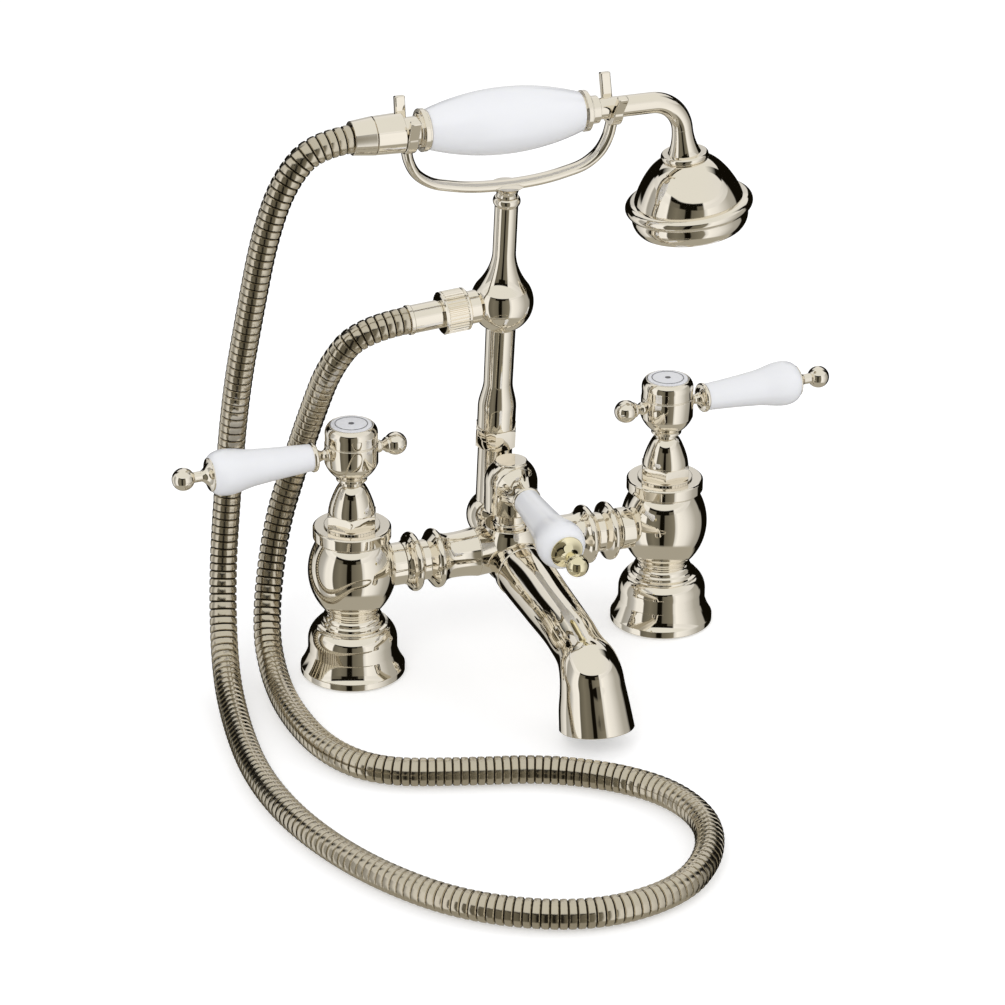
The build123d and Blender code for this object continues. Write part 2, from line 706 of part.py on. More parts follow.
def lever_head(side):
    """The turned head that the lever is screwed into, with its sleeve in the bonnet."""
    plane = upright(inlet_x(side), 0, LEVER_H)
    rim_r = INDEX_R + SLIP_GAP
    groove_top = HEAD_GROOVE_ABOVE + HEAD_GROOVE_T
    groove_r = HEAD_R - HEAD_GROOVE_T
    with BuildPart() as head:
        with BuildSketch(plane):
            with BuildLine():
                Polyline((0, -HEAD_SLEEVE_BELOW), (HEAD_SLEEVE_R, -HEAD_SLEEVE_BELOW),
                         (HEAD_SLEEVE_R, -HEAD_COLLAR_BELOW), (HEAD_COLLAR_R, -HEAD_COLLAR_BELOW),
                         (HEAD_COLLAR_R, -HEAD_BOWL_BELOW))
                bow((HEAD_COLLAR_R, -HEAD_BOWL_BELOW), (HEAD_R, -HEAD_SIDE_BELOW), HEAD_BOWL_SHARE)
                Polyline((HEAD_R, -HEAD_SIDE_BELOW), (HEAD_R, HEAD_GROOVE_ABOVE),
                         (groove_r, HEAD_GROOVE_ABOVE), (groove_r, groove_top), (HEAD_R, groove_top),
                         (HEAD_R, HEAD_SHOULDER_ABOVE))
                bow((HEAD_R, HEAD_SHOULDER_ABOVE), (HEAD_RIM_R, HEAD_ABOVE), HEAD_CROWN_SHARE)
                Polyline((HEAD_RIM_R, HEAD_ABOVE), (rim_r, HEAD_ABOVE), (rim_r, HEAD_ABOVE - INDEX_T),
                         (0, HEAD_ABOVE - INDEX_T), (0, -HEAD_SLEEVE_BELOW))
            make_face()
        spin(plane)
        screw_holes(plane, HEAD_SOCKET_ABOVE, -HEAD_SLEEVE_BELOW, HEAD_ABOVE)
        drum(lever_plane(side), 0, STEM_TENON_R + SLIP_GAP, HEAD_R - STEM_TENON_L, HEAD_R + OVERRUN,
             Mode.SUBTRACT)
        drum(finial_plane(side), 0, FINIAL_WAIST_R + SLIP_GAP, HEAD_R - STEM_TENON_L,
             HEAD_R + OVERRUN, Mode.SUBTRACT)
    return head.part


def screw_holes(plane, socket_top, low, high):
    """The spindle's socket from below, the screw's hole, and the seat of the screw's head."""
    seat = socket_top + SCREW_WEB_T
    drum(plane, 0, SPINDLE_TIP_R + SLIP_GAP, low - OVERRUN, socket_top, Mode.SUBTRACT)
    drum(plane, 0, SPINDLE_R + SLIP_GAP, low - OVERRUN, socket_top - SPINDLE_TIP_L, Mode.SUBTRACT)
    drum(plane, 0, SCREW_R + SLIP_GAP, low, high, Mode.SUBTRACT)
    drum(plane, 0, SCREW_HEAD_R + SLIP_GAP, seat, high + OVERRUN, Mode.SUBTRACT)


def head_screw(side):
    plane = upright(inlet_x(side), 0, LEVER_H)
    socket_top = HEAD_SOCKET_ABOVE
    seat = socket_top + SCREW_WEB_T
    with BuildPart() as screw:
        with BuildSketch(plane):
            band(0, SCREW_HEAD_R, seat, seat + SCREW_HEAD_T)
            band(0, SCREW_R, socket_top - SCREW_L, seat)
        spin(plane)
    return screw.part


def index_disc(side):
    plane = upright(inlet_x(side), 0, LEVER_H + HEAD_ABOVE - INDEX_T)
    with BuildPart() as disc:
        drum(plane, 0, INDEX_R, 0, INDEX_T + INDEX_PROUD)
        fillet(disc.edges().group_by(Axis.Z)[-1], INDEX_PROUD)
    return disc.part


def collar_reach(name):
    return DIVERTER_COLLAR_REACH if name == "diverter" else LEVER_COLLAR_REACH


def lever_stem(name):
    """Turned stem: a tenon in the head, a waist, a collar, and the rod through the porcelain."""
    plane = lever_plane(name)
    collar = collar_reach(name)
    grip_foot = collar + LEVER_COLLAR_T
    rod_end = grip_foot + GRIP_L + TIP_SOCKET_L
    bevel_r = LEVER_COLLAR_R - LEVER_BEVEL
    with BuildPart() as stem:
        with BuildSketch(plane):
            with BuildLine():
                if name == "diverter":
                    tenon = collar - STEM_TENON_L
                    Polyline((0, tenon), (STEM_TENON_R, tenon), (STEM_TENON_R, collar), (bevel_r, collar))
                else:
                    tenon = HEAD_R - STEM_TENON_L
                    Polyline((0, tenon), (STEM_TENON_R, tenon), (STEM_TENON_R, HEAD_R + SLIP_GAP),
                             (STEM_FOOT_R, HEAD_R + SLIP_GAP))
                    bow((STEM_FOOT_R, HEAD_R + SLIP_GAP), (STEM_WAIST_R, STEM_WAIST_REACH), STEM_COVE_SHARE)
                    bow((STEM_WAIST_R, STEM_WAIST_REACH), (bevel_r, collar), STEM_FLARE_SHARE)
                Polyline((bevel_r, collar), (LEVER_COLLAR_R, collar + LEVER_BEVEL),
                         (LEVER_COLLAR_R, grip_foot - LEVER_BEVEL), (bevel_r, grip_foot),
                         (LEVER_ROD_R, grip_foot), (LEVER_ROD_R, rod_end), (0, rod_end), (0, tenon))
            make_face()
        spin(plane)
    return stem.part


def lever_grip(name):
    """Porcelain handle, narrow at the collar and swelling to a bulb before its cap."""
    plane = lever_plane(name)
    foot = collar_reach(name) + LEVER_COLLAR_T
    swell_r = DIVERTER_GRIP_R if name == "diverter" else GRIP_SWELL_R
    bore_r = LEVER_ROD_R + SLIP_GAP
    top = foot + GRIP_L
    with BuildPart() as grip:
        with BuildSketch(plane):
            with BuildLine():
                Spline((GRIP_NARROW_R, foot), (GRIP_FLARE_R, foot + GRIP_L * GRIP_FLARE_SHARE),
                       (swell_r, foot + GRIP_L * GRIP_SWELL_SHARE), (TIP_CAP_R, top),
                       tangents=[(GRIP_FOOT_SHARE, 1), (-1, GRIP_END_SHARE)])
                Polyline((TIP_CAP_R, top), (bore_r, top), (bore_r, foot), (GRIP_NARROW_R, foot))
            make_face()
        spin(plane)
    return grip.part


def lever_tip(name):
    plane = lever_plane(name)
    foot = collar_reach(name) + LEVER_COLLAR_T + GRIP_L
    neck = foot + TIP_CAP_L
    ball = foot + TIP_BALL_REACH
    ball_foot = ball - sqrt(TIP_BALL_R**2 - TIP_NECK_R**2)
    socket_r = LEVER_ROD_R + SLIP_GAP
    with BuildPart() as tip:
        with BuildSketch(plane):
            with BuildLine():
                Polyline((0, foot), (TIP_CAP_R, foot), (TIP_CAP_R, foot + TIP_CAP_EDGE))
                bow((TIP_CAP_R, foot + TIP_CAP_EDGE), (TIP_NECK_R, neck), TIP_COVE_SHARE)
                Line((TIP_NECK_R, neck), (TIP_NECK_R, ball_foot))
                ThreePointArc((TIP_NECK_R, ball_foot), (TIP_BALL_R, ball), (0, ball + TIP_BALL_R))
                Line((0, ball + TIP_BALL_R), (0, foot))
            make_face()
        spin(plane)
        drum(plane, 0, socket_r, foot - OVERRUN, foot + TIP_SOCKET_L, Mode.SUBTRACT)
    return tip.part


def finial_plane(side):
    """The small ball stands opposite the lever, on the same line."""
    plane = lever_plane(side)
    return half_plane(plane.origin, -plane.y_dir, plane.x_dir)


def finial(side):
    plane = finial_plane(side)
    tenon = HEAD_R - STEM_TENON_L
    foot = HEAD_R + SLIP_GAP
    waist = foot + FINIAL_BEAD_L
    cone = waist + FINIAL_CONE_L
    ball_foot = FINIAL_REACH - sqrt(FINIAL_BALL_R**2 - FINIAL_CONE_R**2)
    with BuildPart() as knob:
        with BuildSketch(plane):
            with BuildLine():
                Polyline((0, tenon), (FINIAL_WAIST_R, tenon), (FINIAL_WAIST_R, foot), (FINIAL_FOOT_R, foot))
                bow((FINIAL_FOOT_R, foot), (FINIAL_WAIST_R, waist), -FINIAL_BEAD_SHARE)
                Polyline((FINIAL_WAIST_R, waist), (FINIAL_CONE_R, cone), (FINIAL_CONE_R, ball_foot))
                ThreePointArc((FINIAL_CONE_R, ball_foot), (FINIAL_BALL_R, FINIAL_REACH),
                              (0, FINIAL_REACH + FINIAL_BALL_R))
                Line((0, FINIAL_REACH + FINIAL_BALL_R), (0, tenon))
            make_face()
        spin(plane)
    return knob.part


def spout_plane():
    """Half plane of the spout's straight leg, which falls a little towards the bath."""
    dip = radians(SPOUT_DIP)
    return half_plane((0, 0, SPOUT_ROOT_H), (0, -cos(dip), -sin(dip)), (1, 0, 0))


def cross_body():
    upright_core = upright(0, 0, 0)
    barrel = half_plane((0, 0, ARM_H), (1, 0, 0), (0, 0, 1))
    rear = half_plane((0, 0, NECK_BACK_H), (0, 1, 0), (1, 0, 0))
    front = spout_plane()
    seat = CORE_TOP - CORE_RECESS_L
    with BuildPart() as body:
        with BuildSketch(upright_core):
            with BuildLine():
                Line((0, CORE_FOOT), (CORE_FOOT_R, CORE_FOOT))
                ThreePointArc((CORE_FOOT_R, CORE_FOOT), (CORE_R, CORE_WIDE_H), (CORE_TOP_R, CORE_TOP))
                Polyline((CORE_TOP_R, CORE_TOP), (0, CORE_TOP), (0, CORE_FOOT))
            make_face()
        spin(upright_core)
        with BuildSketch(barrel):
            with BuildLine():
                Polyline((0, -BODY_HALF_W), (ARM_END_R, -BODY_HALF_W))
                bow((ARM_END_R, -BODY_HALF_W), (ARM_END_R, BODY_HALF_W), BARREL_COVE_SHARE)
                Polyline((ARM_END_R, BODY_HALF_W), (0, BODY_HALF_W), (0, -BODY_HALF_W))
            make_face()
        spin(barrel)
        drum(front, 0, SPOUT_STUB_R, 0, SPOUT_STUB_REACH)
        drum(front, 0, SPOUT_SPIGOT_R, 0, SPOUT_STUB_REACH + SPOUT_SPIGOT_L)
        drum(rear, 0, NECK_BACK_R, 0, NECK_BACK_REACH)
        drum(upright_core, 0, CHAMBER_R, seat - DIVERTER_VALVE_L, CORE_TOP, Mode.SUBTRACT)
        drum(upright_core, 0, VALVE_COLLAR_R + SLIP_GAP, seat, 2 * CORE_TOP, Mode.SUBTRACT)
        drum(barrel, 0, BRANCH_BORE_R, -BODY_HALF_W - OVERRUN, BODY_HALF_W + OVERRUN, Mode.SUBTRACT)
        drum(front, 0, BRANCH_BORE_R, 0, SPOUT_STUB_REACH + SPOUT_SPIGOT_L + OVERRUN, Mode.SUBTRACT)
        drum(rear, 0, RISER_BORE_R, 0, NECK_BACK_REACH + OVERRUN, Mode.SUBTRACT)
        drum(rear, 0, RISER_SPIGOT_R + SLIP_GAP, NECK_BACK_REACH - RISER_SPIGOT_L - SLIP_GAP,
             NECK_BACK_REACH + OVERRUN, Mode.SUBTRACT)
    return body.part


def spout_section(shares):
    """Plane and radius of one section of the spout, from its row of shares."""
    back_share, height_share, turn, radius_share = shares
    back = SPOUT_STUB_REACH + back_share * (SPOUT_REACH - SPOUT_STUB_REACH)
    height = SPOUT_MOUTH_H + height_share * (SPOUT_ROOT_H - SPOUT_MOUTH_H)
    radius = SPOUT_THROAT_R + radius_share * (SPOUT_MOUTH_R - SPOUT_THROAT_R)
    axis = (0, -cos(radians(turn)), -sin(radians(turn)))
    return Plane(origin=(0, -back, height), x_dir=(1, 0, 0), z_dir=axis), radius


def spout():
    root = spout_plane()
    mouth, mouth_r = spout_section(SPOUT_SHARES[-1])
    pocket = Plane(origin=mouth.origin, x_dir=(1, 0, 0), z_dir=-mouth.z_dir)
    with BuildPart() as tube:
        with BuildSketch(section_plane(root, SPOUT_STUB_REACH)):
            Circle(SPOUT_ROOT_R)
        for shares in SPOUT_SHARES:
            plane, radius = spout_section(shares)
            with BuildSketch(plane):
                Circle(radius)
        loft()
        for shares in SPOUT_SHARES:
            plane, radius = spout_section(shares)
            with BuildSketch(plane):
                Circle(radius - SPOUT_WALL)
        loft(mode=Mode.SUBTRACT)
        with BuildSketch(root):
            with BuildLine():
                Polyline((0, SPOUT_STUB_REACH), (SPOUT_COLLAR_R, SPOUT_STUB_REACH),
                         (SPOUT_COLLAR_R, SPOUT_STUB_REACH + SPOUT_COLLAR_L))
                Line((SPOUT_COLLAR_R, SPOUT_STUB_REACH + SPOUT_COLLAR_L),
                     (SPOUT_ROOT_R - SPOUT_WALL, SPOUT_STUB_REACH + 2 * SPOUT_COLLAR_L))
                Polyline((SPOUT_ROOT_R - SPOUT_WALL, SPOUT_STUB_REACH + 2 * SPOUT_COLLAR_L),
                         (0, SPOUT_STUB_REACH + 2 * SPOUT_COLLAR_L), (0, SPOUT_STUB_REACH))
            make_face()
        spin(root)
        drum(root, 0, SPOUT_SPIGOT_R + SLIP_GAP, SPOUT_STUB_REACH - OVERRUN,
             SPOUT_STUB_REACH + 2 * SPOUT_COLLAR_L + OVERRUN, Mode.SUBTRACT)
        with BuildSketch(pocket):
            Circle(STRAIGHTENER_R + SLIP_GAP)
        extrude(amount=STRAIGHTENER_LIFT + STRAIGHTENER_L, mode=Mode.SUBTRACT)
    return tube.part


def flow_straightener():
    """A plastic ring with a square mesh of vanes, pressed up inside the spout's mouth."""
    mouth, mouth_r = spout_section(SPOUT_SHARES[-1])
    foot = Plane(origin=mouth.origin - mouth.z_dir * STRAIGHTENER_LIFT, x_dir=(1, 0, 0), z_dir=-mouth.z_dir)
    span = 2 * STRAIGHTENER_R
    count = int(span / STRAIGHTENER_PITCH)
    with BuildPart() as mesh:
        with BuildSketch(foot):
            with GridLocations(STRAIGHTENER_PITCH, 0, count, 1):
                Rectangle(STRAIGHTENER_VANE, span)
            with GridLocations(0, STRAIGHTENER_PITCH, 1, count):
                Rectangle(span, STRAIGHTENER_VANE)
            Circle(STRAIGHTENER_R - STRAIGHTENER_RIM / 2, mode=Mode.INTERSECT)
        extrude(amount=STRAIGHTENER_L)
        with BuildSketch(foot):
            Circle(STRAIGHTENER_R)
            Circle(STRAIGHTENER_R - STRAIGHTENER_RIM, mode=Mode.SUBTRACT)
        extrude(amount=STRAIGHTENER_L)
    return mesh.part


def diverter_bonnet():
    """The neck under the diverter's head, with the flange that holds its valve down in the body."""
    plane = upright(0, 0, CORE_TOP - CORE_RECESS_L)
    neck_top = DIVERTER_NECK_TOP - CORE_TOP + CORE_RECESS_L
    with BuildPart() as body:
        with BuildSketch(plane):
            band(GLAND_R + SLIP_GAP, VALVE_COLLAR_R, VALVE_COLLAR_T, CORE_RECESS_L)
            band(GLAND_R + SLIP_GAP, DIVERTER_NECK_R, CORE_RECESS_L, neck_top)
        spin(plane)
    return body.part


def diverter_head():
    plane = upright(0, 0, 0)
    lever = lever_plane("diverter")
    crown_r = DIVERTER_HEAD_R * cos(radians(DIVERTER_CROWN_TURN))
    crown = DIVERTER_DOME_H + DIVERTER_HEAD_R * sin(radians(DIVERTER_CROWN_TURN))
    foot = DIVERTER_NECK_TOP - DIVERTER_LAP
    with BuildPart() as head:
        with BuildSketch(plane):
            with BuildLine():
                Polyline((0, foot), (DIVERTER_HEAD_R, foot), (DIVERTER_HEAD_R, DIVERTER_DOME_H))
                ThreePointArc((DIVERTER_HEAD_R, DIVERTER_DOME_H), (crown_r, crown),
                              (DIVERTER_BUTTON_R, DIVERTER_BUTTON_H))
                Polyline((DIVERTER_BUTTON_R, DIVERTER_BUTTON_H), (0, DIVERTER_BUTTON_H), (0, foot))
            make_face()
        spin(plane)
        with BuildSketch(lever):
            with BuildLine():
                Line((0, 0), (DIVERTER_BOSS_R, DIVERTER_BOSS_REACH))
                bow((DIVERTER_BOSS_R, DIVERTER_BOSS_REACH), (DIVERTER_CONE_R, DIVERTER_COLLAR_REACH),
                    DIVERTER_CONE_SHARE)
                Polyline((DIVERTER_CONE_R, DIVERTER_COLLAR_REACH), (0, DIVERTER_COLLAR_REACH), (0, 0))
            make_face()
        spin(lever)
        drum(plane, 0, DIVERTER_HEAD_R - DIVERTER_WALL, 0, DIVERTER_NECK_TOP + RUN_GAP, Mode.SUBTRACT)
        screw_holes(plane, DIVERTER_SOCKET_H, foot, DIVERTER_BUTTON_H)
        drum(lever, 0, STEM_TENON_R + SLIP_GAP, DIVERTER_COLLAR_REACH - STEM_TENON_L,
             DIVERTER_COLLAR_REACH + OVERRUN, Mode.SUBTRACT)
    return head.part


def diverter_button():
    """Flat cap on the dome, with the screw that holds the head on its spindle."""
    plane = upright(0, 0, 0)
    foot = DIVERTER_BUTTON_H
    top = foot + DIVERTER_BUTTON_T
    with BuildPart() as button:
        drum(plane, 0, DIVERTER_BUTTON_R, foot, top)
        fillet(button.edges().group_by(Axis.Z)[-1], DIVERTER_BUTTON_T / 2)
        drum(plane, 0, SCREW_HEAD_R, DIVERTER_SOCKET_H + SCREW_WEB_T, foot)
        drum(plane, 0, SCREW_R, DIVERTER_SOCKET_H - SCREW_L, DIVERTER_SOCKET_H + SCREW_WEB_T)
    return button.part


def riser():
    """The ball elbow behind the body and the straight tube up to the union nut."""
    plane = column_plane()
    rear = half_plane((0, 0, NECK_BACK_H), (0, 1, 0), (1, 0, 0))
    spigot = NECK_BACK_REACH - RISER_SPIGOT_L
    thread_top = UNION_LOW + UNION_THREAD_L
    with BuildPart() as pipe:
        with BuildSketch(plane):
            with BuildLine():
                Line((0, -ELBOW_R), (0, ELBOW_R))
                ThreePointArc((0, ELBOW_R), (ELBOW_R, 0), (0, -ELBOW_R))
            make_face()
        spin(plane)
        drum(plane, 0, RISER_R, 0, UNION_LOW)
        drum(plane, 0, UNION_WALL_R, UNION_LOW, thread_top)
        drum(rear, 0, 2 * ELBOW_R, 0, NECK_BACK_REACH, Mode.SUBTRACT)
        drum(rear, 0, NECK_BACK_R, NECK_BACK_REACH, RISER_BACK)
        drum(rear, 0, RISER_SPIGOT_R, spigot, NECK_BACK_REACH)
        drum(plane, 0, RISER_BORE_R, 0, thread_top + OVERRUN, Mode.SUBTRACT)
        drum(rear, 0, RISER_BORE_R, spigot - OVERRUN, RISER_BACK, Mode.SUBTRACT)
    return pipe.part


def union_nut():
    plane = column_plane()
    top = UNION_LOW + UNION_L
    collar_top = UNION_LOW + UNION_THREAD_L + HOSE_WASHER_T + TAIL_HEAD_L
    with BuildPart() as nut:
        with BuildSketch(section_plane(plane, UNION_LOW)):
            RegularPolygon(UNION_ACROSS / 2, 6, major_radius=False)
        extrude(amount=UNION_L)
        drum(plane, 0, UNION_WALL_R + SLIP_GAP, UNION_LOW - OVERRUN, collar_top, Mode.SUBTRACT)
        drum(plane, 0, COLUMN_TAIL_R + SLIP_GAP, UNION_LOW, top + OVERRUN, Mode.SUBTRACT)
    return nut.part


def column():
    plane = column_plane()
    outlet = outlet_plane()
    tail = UNION_LOW + UNION_THREAD_L + HOSE_WASHER_T
    tail_top = tail + TAIL_HEAD_L
    foot = UNION_LOW + UNION_L + SLIP_GAP
    top = COLUMN_TOP_REACH + COLUMN_LIP_L
    lip_mid = COLUMN_TOP_REACH + COLUMN_LIP_L / 2
    throat = TEE_REACH - sqrt(TEE_R**2 - TEE_THROAT_R**2)
    crown_r = TEE_R * cos(radians(TEE_CROWN_TURN))
    crown = TEE_REACH + TEE_R * sin(radians(TEE_CROWN_TURN))
    slope = (-sin(radians(TEE_CROWN_TURN)), cos(radians(TEE_CROWN_TURN)))
    spigot_end = OUTLET_NECK_REACH + OUTLET_SPIGOT_L
    with BuildPart() as post:
        with BuildSketch(plane):
            with BuildLine():
                Polyline((0, tail), (UNION_WALL_R, tail), (UNION_WALL_R, tail_top),
                         (COLUMN_TAIL_R, tail_top), (COLUMN_TAIL_R, foot), (COLUMN_FOOT_R, foot),
                         (COLUMN_FOOT_R, COLUMN_SHOULDER_REACH))
                Spline((COLUMN_FOOT_R, COLUMN_SHOULDER_REACH), (COLUMN_WAIST_R, COLUMN_WAIST_REACH),
                       tangents=[(0, 1), (0, 1)])
                Line((COLUMN_WAIST_R, COLUMN_WAIST_REACH), (TEE_THROAT_R, throat))
                ThreePointArc((TEE_THROAT_R, throat), (TEE_R, TEE_REACH), (crown_r, crown))
                Spline((crown_r, crown), (COLUMN_TOP_R, TEE_FLAME_REACH), tangents=[slope, (0, 1)])
                Polyline((COLUMN_TOP_R, TEE_FLAME_REACH), (COLUMN_TOP_R, COLUMN_TOP_REACH))
                ThreePointArc((COLUMN_TOP_R, COLUMN_TOP_REACH), (COLUMN_LIP_R, lip_mid), (COLUMN_TOP_R, top))
                Polyline((COLUMN_TOP_R, top), (0, top), (0, tail))
            make_face()
        spin(plane)
        drum(outlet, 0, OUTLET_NECK_R, 0, OUTLET_NECK_REACH)
        drum(outlet, 0, OUTLET_SPIGOT_R, 0, spigot_end)
        drum(plane, 0, RISER_BORE_R, 0, TEE_REACH, Mode.SUBTRACT)
        drum(outlet, 0, OUTLET_BORE_R, 0, spigot_end + OVERRUN, Mode.SUBTRACT)
        drum(plane, 0, CRADLE_PIN_R + SLIP_GAP, top - CRADLE_PIN_L - RUN_GAP, top + OVERRUN,
             Mode.SUBTRACT)
    return post.part


def knurled_nut():
    """Round nut of the hose at the column, knurled all round between two plain lips."""
    plane = outlet_plane()
    foot = OUTLET_NECK_REACH + SLIP_GAP
    top = foot + KNURL_L
    collar_top = OUTLET_NECK_REACH + OUTLET_SPIGOT_L + HOSE_WASHER_T + TAIL_HEAD_L
    with BuildPart() as nut:
        drum(plane, 0, KNURL_R, foot, top)
        chamfer(nut.edges(), KNURL_EDGE)
        with BuildSketch(section_plane(plane, foot + KNURL_LIP_L)):
            with PolarLocations(KNURL_R, KNURL_COUNT):
                RegularPolygon(KNURL_CUT_R, 4)
        extrude(amount=KNURL_L - 2 * KNURL_LIP_L, mode=Mode.SUBTRACT)
        drum(plane, 0, OUTLET_SPIGOT_R + SLIP_GAP, foot - OVERRUN, collar_top, Mode.SUBTRACT)
        drum(plane, 0, TAIL_THROAT_R + SLIP_GAP, foot, top + OVERRUN, Mode.SUBTRACT)
    return nut.part


def hose_tail():
    """The plain sleeve that the hose is crimped into, with its flange inside the knurled nut."""
    plane = outlet_plane()
    flange = OUTLET_NECK_REACH + OUTLET_SPIGOT_L + HOSE_WASHER_T
    sleeve = OUTLET_NECK_REACH + SLIP_GAP + KNURL_L + SLIP_GAP
    end = sleeve + TAIL_L
    with BuildPart() as tail:
        with BuildSketch(plane):
            band(OUTLET_BORE_R, OUTLET_SPIGOT_R, flange, flange + TAIL_HEAD_L)
            band(OUTLET_BORE_R, TAIL_THROAT_R, flange + TAIL_HEAD_L, sleeve)
            band(OUTLET_BORE_R, TAIL_R, sleeve, end - TAIL_LIP_L)
            band(OUTLET_BORE_R, TAIL_LIP_R, end - TAIL_LIP_L, end)
        spin(plane)
    return tail.part


def cradle():
    """Yoke on the column's top: a bowed bar with a splayed fork at each end."""
    plane = column_plane()
    foot = COLUMN_TOP_REACH + COLUMN_LIP_L
    neck_top = CRADLE_BAR_REACH - CRADLE_BAR_HALF_T + CRADLE_FLAT_RISE
    seat = HANDSET_REACH
    half_t = CRADLE_BAR_HALF_T
    fork_low = seat - HANDSET_NECK_R - FORK_GAP - FORK_T
    with BuildPart() as yoke:
        with BuildSketch(plane):
            band(0, CRADLE_PIN_R, foot - CRADLE_PIN_L, foot)
            with BuildLine():
                Line((0, foot), (CRADLE_NECK_R, foot))
                bow((CRADLE_NECK_R, foot), (CRADLE_NECK_TOP_R, neck_top), CRADLE_NECK_SHARE)
                Polyline((CRADLE_NECK_TOP_R, neck_top), (0, neck_top), (0, foot))
            make_face()
        spin(plane)
        front = Plane(plane.origin, x_dir=plane.x_dir, z_dir=plane.z_dir)
        with BuildSketch(front):
            with BuildLine():
                top = bar_line(half_t)
                low = bar_line(-half_t)
                Line(top @ 0, low @ 0)
                Line(top @ 1, low @ 1)
            make_face()
        extrude(amount=CRADLE_BAR_HALF_W, both=True)
        for out, inner in ((-FORK_OUT, HANDSET_NECK_R), (FORK_OUT, SHOWER_ARM_R)):
            fork_centre = section_plane(plane, seat).origin + Vector(out, 0, 0)
            back = plane.y_dir.cross(Vector(1, 0, 0))
            side_plane = Plane(origin=fork_centre, x_dir=back, z_dir=Vector(1, 0, 0))
            with BuildSketch(side_plane):
                fork_outline(inner + FORK_GAP)
            extrude(amount=FORK_W / 2, both=True)
    return yoke.part


def bar_line(shift):
    """One edge of the yoke's bar: a low bow in the middle, then a rise to each fork."""
    points = [(x, CRADLE_BAR_REACH + rise + shift) for x, rise in bar_points()]
    return Spline(*points)


def bar_points():
    end_rise = HANDSET_RISE - HANDSET_NECK_R - FORK_GAP - FORK_T + FORK_LAP
    half = [(CRADLE_FLAT_HALF, CRADLE_FLAT_RISE), (CRADLE_CORNER_OUT - CRADLE_BEND_OUT, CRADLE_BEND_RISE),
            (CRADLE_CORNER_OUT, CRADLE_CORNER_RISE), (FORK_OUT, end_rise)]
    return [(-x, rise) for x, rise in reversed(half)] + [(0, 0)] + half


def fork_outline(inner_r):
    outer_r = inner_r + FORK_T
    tip = FORK_T / 2
    front_in, front_out = -(FORK_TIP_OUT - tip), -(FORK_TIP_OUT + tip)
    rear_in, rear_out = FORK_TIP_OUT - tip, FORK_TIP_OUT + tip
    with BuildLine() as outline:
        Line((front_out, FORK_FRONT_RISE), (-outer_r, 0))
        ThreePointArc((-outer_r, 0), (0, -outer_r), (outer_r, 0))
        Line((outer_r, 0), (rear_out, FORK_REAR_RISE))
        ThreePointArc((rear_out, FORK_REAR_RISE), (FORK_TIP_OUT, FORK_REAR_RISE + tip),
                      (rear_in, FORK_REAR_RISE))
        Line((rear_in, FORK_REAR_RISE), (inner_r, 0))
        ThreePointArc((inner_r, 0), (0, -inner_r), (-inner_r, 0))
        Line((-inner_r, 0), (front_in, FORK_FRONT_RISE))
        ThreePointArc((front_in, FORK_FRONT_RISE), (-FORK_TIP_OUT, FORK_FRONT_RISE + tip),
                      (front_out, FORK_FRONT_RISE))
    make_face(outline.edges())


def handset_inlet():
    """Turned inlet of the handset, with the tube that runs on through the porcelain."""
    plane = handset_plane()
    thread_end = -INLET_OUT - NUT_THREAD_L
    tube_end = -COLLAR_OUT + COLLAR_L + HANDGRIP_L + COLLAR_L
    with BuildPart() as inlet:
        with BuildSketch(plane):
            with BuildLine():
                Polyline((0, thread_end), (NUT_SPIGOT_R, thread_end), (NUT_SPIGOT_R, -INLET_OUT),
                         (INLET_END_R, -INLET_OUT), (INLET_SHOULDER_R, -INLET_SHOULDER_OUT),
                         (HANDSET_NECK_R, -INLET_SHOULDER_OUT), (HANDSET_NECK_R, -COLLAR_OUT),
                         (HANDSET_TUBE_R, -COLLAR_OUT), (HANDSET_TUBE_R, tube_end), (0, tube_end),
                         (0, thread_end))
            make_face()
            band(0, HANDSET_BORE_R, thread_end, tube_end, Mode.SUBTRACT)
        spin(plane)
    return inlet.part


def grip_collar():
    """Stepped metal ring at the inlet end of the porcelain."""
    plane = section_plane_along(handset_plane(), -COLLAR_OUT)
    bore_r = HANDSET_TUBE_R + SLIP_GAP
    with BuildPart() as collar:
        with BuildSketch(plane):
            band(bore_r, COLLAR_STEP_R, 0, COLLAR_STEP_L)
            band(bore_r, COLLAR_R, COLLAR_STEP_L, COLLAR_L - COLLAR_STEP_L)
            band(bore_r, HANDGRIP_END_R, COLLAR_L - COLLAR_STEP_L, COLLAR_L)
        spin(plane)
    return collar.part


def section_plane_along(plane, reach):
    """The same half plane, moved along its axis."""
    return half_plane(plane.origin + plane.y_dir * reach, plane.y_dir, plane.x_dir)


def handset_grip():
    plane = section_plane_along(handset_plane(), -COLLAR_OUT + COLLAR_L)
    bore_r = HANDSET_TUBE_R + SLIP_GAP
    with BuildPart() as grip:
        with BuildSketch(plane):
            with BuildLine():
                ThreePointArc((HANDGRIP_END_R, 0), (HANDGRIP_R, HANDGRIP_L / 2),
                              (HANDGRIP_END_R, HANDGRIP_L))
                Polyline((HANDGRIP_END_R, HANDGRIP_L), (bore_r, HANDGRIP_L), (bore_r, 0),
                         (HANDGRIP_END_R, 0))
            make_face()
        spin(plane)
    return grip.part


